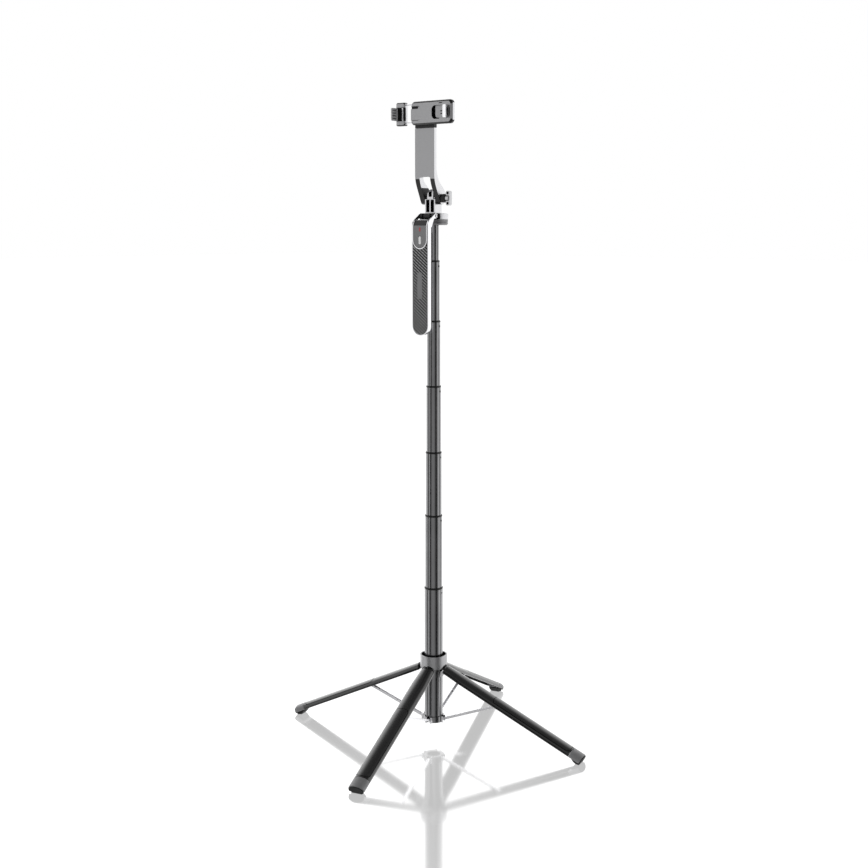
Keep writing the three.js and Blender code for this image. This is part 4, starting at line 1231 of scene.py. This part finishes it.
def remote_body():
    """The remote's case under a slanted, glossy top, with seats for its button, lamp and coin cell."""
    low, high = node_box("remote_body")
    back, front = COVER_BACK, GRIP_FRONT + 0.6
    obj = dressed(front_plate("remote_case", shield(2, high.z + 4), back, front + 2), remote_paint)
    slant = side_plate("remote_side", [
        (back, low.z - 5), (front, low.z - 5), (front, high.z - 8.5), (GRIP_FRONT - 4.6, high.z),
        (back, high.z),
    ], -30, 30)
    combine(obj, "INTERSECT", dressed(slant, remote_paint))
    paint(obj, gloss_black, lambda centre, normal: centre.z > high.z - 9 and normal.z > 0.2)
    carve(obj, plastic_and_shade, bar("cell_seat", "y", 6.6, -28.6, -20, (0, CELL_Z)))
    # The button's and the lamp's seats are lined with painted shade.
    b_low, b_high = node_box("remote_button")
    seat = rounded(b_low.x - 0.3, b_high.x + 0.3, b_low.z - 0.3, b_high.z + 0.3, b_high.x, steps=10)
    carve(obj, painted_shade, front_plate("button_seat", seat, 30, 40))
    lamp = rounded(-1.45, 1.45, LAMP_LOW - 0.1, LAMP_HIGH + 0.1, 1.1)
    carve(obj, painted_shade, front_plate("lamp_seat", lamp, 31.8, 40))
    soften(obj, 0.35, 3, angle=24)
    edge = block("top_trim", -11.0, 11.0, 26.2, 27.6, high.z - 1.0, high.z)
    weld(obj, chrome, soften(edge, 0.2, 2))
    settle(obj, "remote", ["remote_body"])


def remote_lamp():
    """The remote's red lamp window."""
    outline = rounded(-1.35, 1.35, LAMP_LOW, LAMP_HIGH, 1.0)
    obj = front_plate("remote_lamp", outline, 31.9, GRIP_FRONT + 0.75)
    soften(dressed(obj, red_plastic), 0.15, 2)
    settle(obj, "remote", [])


def remote_button():
    low, high = node_box("remote_button")
    front = -low.y

    def ring(inset, forward):
        turn = high.x - 0.05 - inset
        return facing(rounded(low.x + inset, high.x - inset, low.z + inset, high.z - inset, turn), forward)
    rings = [ring(0, -high.y), ring(0, front - 0.6), ring(0.15, front - 0.3), ring(0.5, front - 0.08),
             ring(1.0, front)]
    obj = dressed(loft("shutter_button", rings), white_plastic)
    settle(obj, "button", ["remote_button"])


def remote_cell():
    """The coin cell behind the remote's case."""
    low, high = node_box("remote_cell")
    obj = bar("coin_cell", "y", high.x, low.y, high.y, (0, (low.z + high.z) / 2), tip=0.3)
    settle(dressed(obj, steel), "remote", ["remote_cell"])


grip_frame()
grip_cover()
cover_plate()
remote_bezel()
remote_body()
remote_lamp()
remote_button()
remote_cell()


# ---- floor, light and camera ----
VIEW_AZIMUTH = 40.0          # the camera's, round the mast
VIEW_PITCH = 8.526           # how far it looks down
CAMERA_PLACE = (1.364, -1.6256, 0.8126)
LENS = 56.94
LENS_SHIFT = 0.00044
FLOOR_HALF = 30.0
FLOOR_GLOW = 1.05
FLOOR_GLOSS = 0.50           # the reflecting share of the floor
RING_FULL = 2.0              # the brightness that a full stop of the ring stands for
# Degrees to the right of the camera as seen from the object, and brightness.
RING_STOPS = [
    (-180, 1.3), (-168, 1.8), (-126, 1.8), (-112, 0.5), (-100, 1.0), (-62, 1.0), (-52, 0.04), (-38, 0.04),
    (-28, 0.5), (8, 0.5), (22, 0.22), (32, 0.02), (46, 0.02), (60, 0.6), (76, 1.3), (180, 1.3),
]
OVERHEAD = 0.2               # brightness of the sky above the ring
OVERHEAD_FROM, OVERHEAD_FULL = 0.62, 0.85


def floor():
    """A wide, pale, softly reflecting floor."""
    far = FLOOR_HALF
    mesh = bpy.data.meshes.new("floor")
    mesh.from_pydata([(-far, -far, 0), (far, -far, 0), (far, far, 0), (-far, far, 0)], [], [(0, 1, 2, 3)])
    obj = bpy.data.objects.new("floor", mesh)
    bpy.context.scene.collection.objects.link(obj)
    material = bpy.data.materials.new("pale_floor")
    material.use_nodes = True
    tree = material.node_tree
    tree.nodes.clear()
    nodes = Nodes(tree)
    glow = nodes.add("ShaderNodeEmission", {"Color": (1, 1, 1, 1), "Strength": FLOOR_GLOW})
    gloss = nodes.add("ShaderNodeBsdfGlossy", {"Color": (1, 1, 1, 1), "Roughness": 0.09})
    mixed = nodes.add("ShaderNodeMixShader", {0: FLOOR_GLOSS, 1: glow.outputs[0], 2: gloss.outputs[0]})
    nodes.add("ShaderNodeOutputMaterial", {0: mixed.outputs[0]})
    mesh.materials.append(material)
    obj.visible_glossy = False


def studio():
    """White surroundings: what the camera sees is plain white. What lights the object is a ring of soft
    panels, brightest behind it and dimmer round the camera, with a dark gap on either side of that. The
    sky above the ring is dim."""
    world = bpy.data.worlds.new("studio")
    bpy.context.scene.world = world
    world.use_nodes = True
    tree = world.node_tree
    tree.nodes.clear()
    nodes = Nodes(tree)
    direction = nodes.add("ShaderNodeTexCoord").outputs["Generated"]
    turn = nodes.add("ShaderNodeVectorRotate", {
        "Vector": direction, "Angle": math.radians(90 - VIEW_AZIMUTH)}, rotation_type="Z_AXIS")
    split = nodes.add("ShaderNodeSeparateXYZ", {0: turn.outputs[0]})
    azimuth = nodes.math("ARCTAN2", split.outputs["Y"], split.outputs["X"])
    around = nodes.remap(azimuth, -math.pi, math.pi, 0.0, 1.0)
    ring = nodes.add("ShaderNodeValToRGB", {0: around})
    ramp = ring.color_ramp
    while len(ramp.elements) < len(RING_STOPS):
        ramp.elements.new(0.5)
    for element, (degrees, value) in zip(ramp.elements, RING_STOPS):
        element.position = (degrees + 180) / 360
        element.color = (value / RING_FULL, value / RING_FULL, value / RING_FULL, 1)
    side = nodes.math("MULTIPLY", ring.outputs["Color"], RING_FULL)
    overhead = nodes.remap(split.outputs["Z"], OVERHEAD_FROM, OVERHEAD_FULL, 0.0, 1.0)
    lit = nodes.add("ShaderNodeMix", {"Factor": overhead}, data_type="FLOAT")
    tree.links.new(side, lit.inputs[2])
    lit.inputs[3].default_value = OVERHEAD
    seen = nodes.add("ShaderNodeLightPath").outputs["Is Camera Ray"]
    strength = nodes.add("ShaderNodeMix", {"Factor": seen}, data_type="FLOAT")
    tree.links.new(lit.outputs[0], strength.inputs[2])
    strength.inputs[3].default_value = 1.0
    background = nodes.add("ShaderNodeBackground", {"Color": (1, 1, 1, 1), "Strength": strength.outputs[0]})
    nodes.add("ShaderNodeOutputWorld", {0: background.outputs[0]})


def camera():
    data = bpy.data.cameras.new("camera")
    data.lens = LENS
    data.sensor_width = 36
    data.shift_x = LENS_SHIFT
    data.clip_end = 100
    obj = bpy.data.objects.new("camera", data)
    obj.location = CAMERA_PLACE
    obj.rotation_euler = (math.radians(90 - VIEW_PITCH), 0, math.radians(VIEW_AZIMUTH))
    bpy.context.scene.collection.objects.link(obj)
    bpy.context.scene.camera = obj


floor()
studio()
camera()
bpy.context.scene.view_settings.view_transform = "Standard"
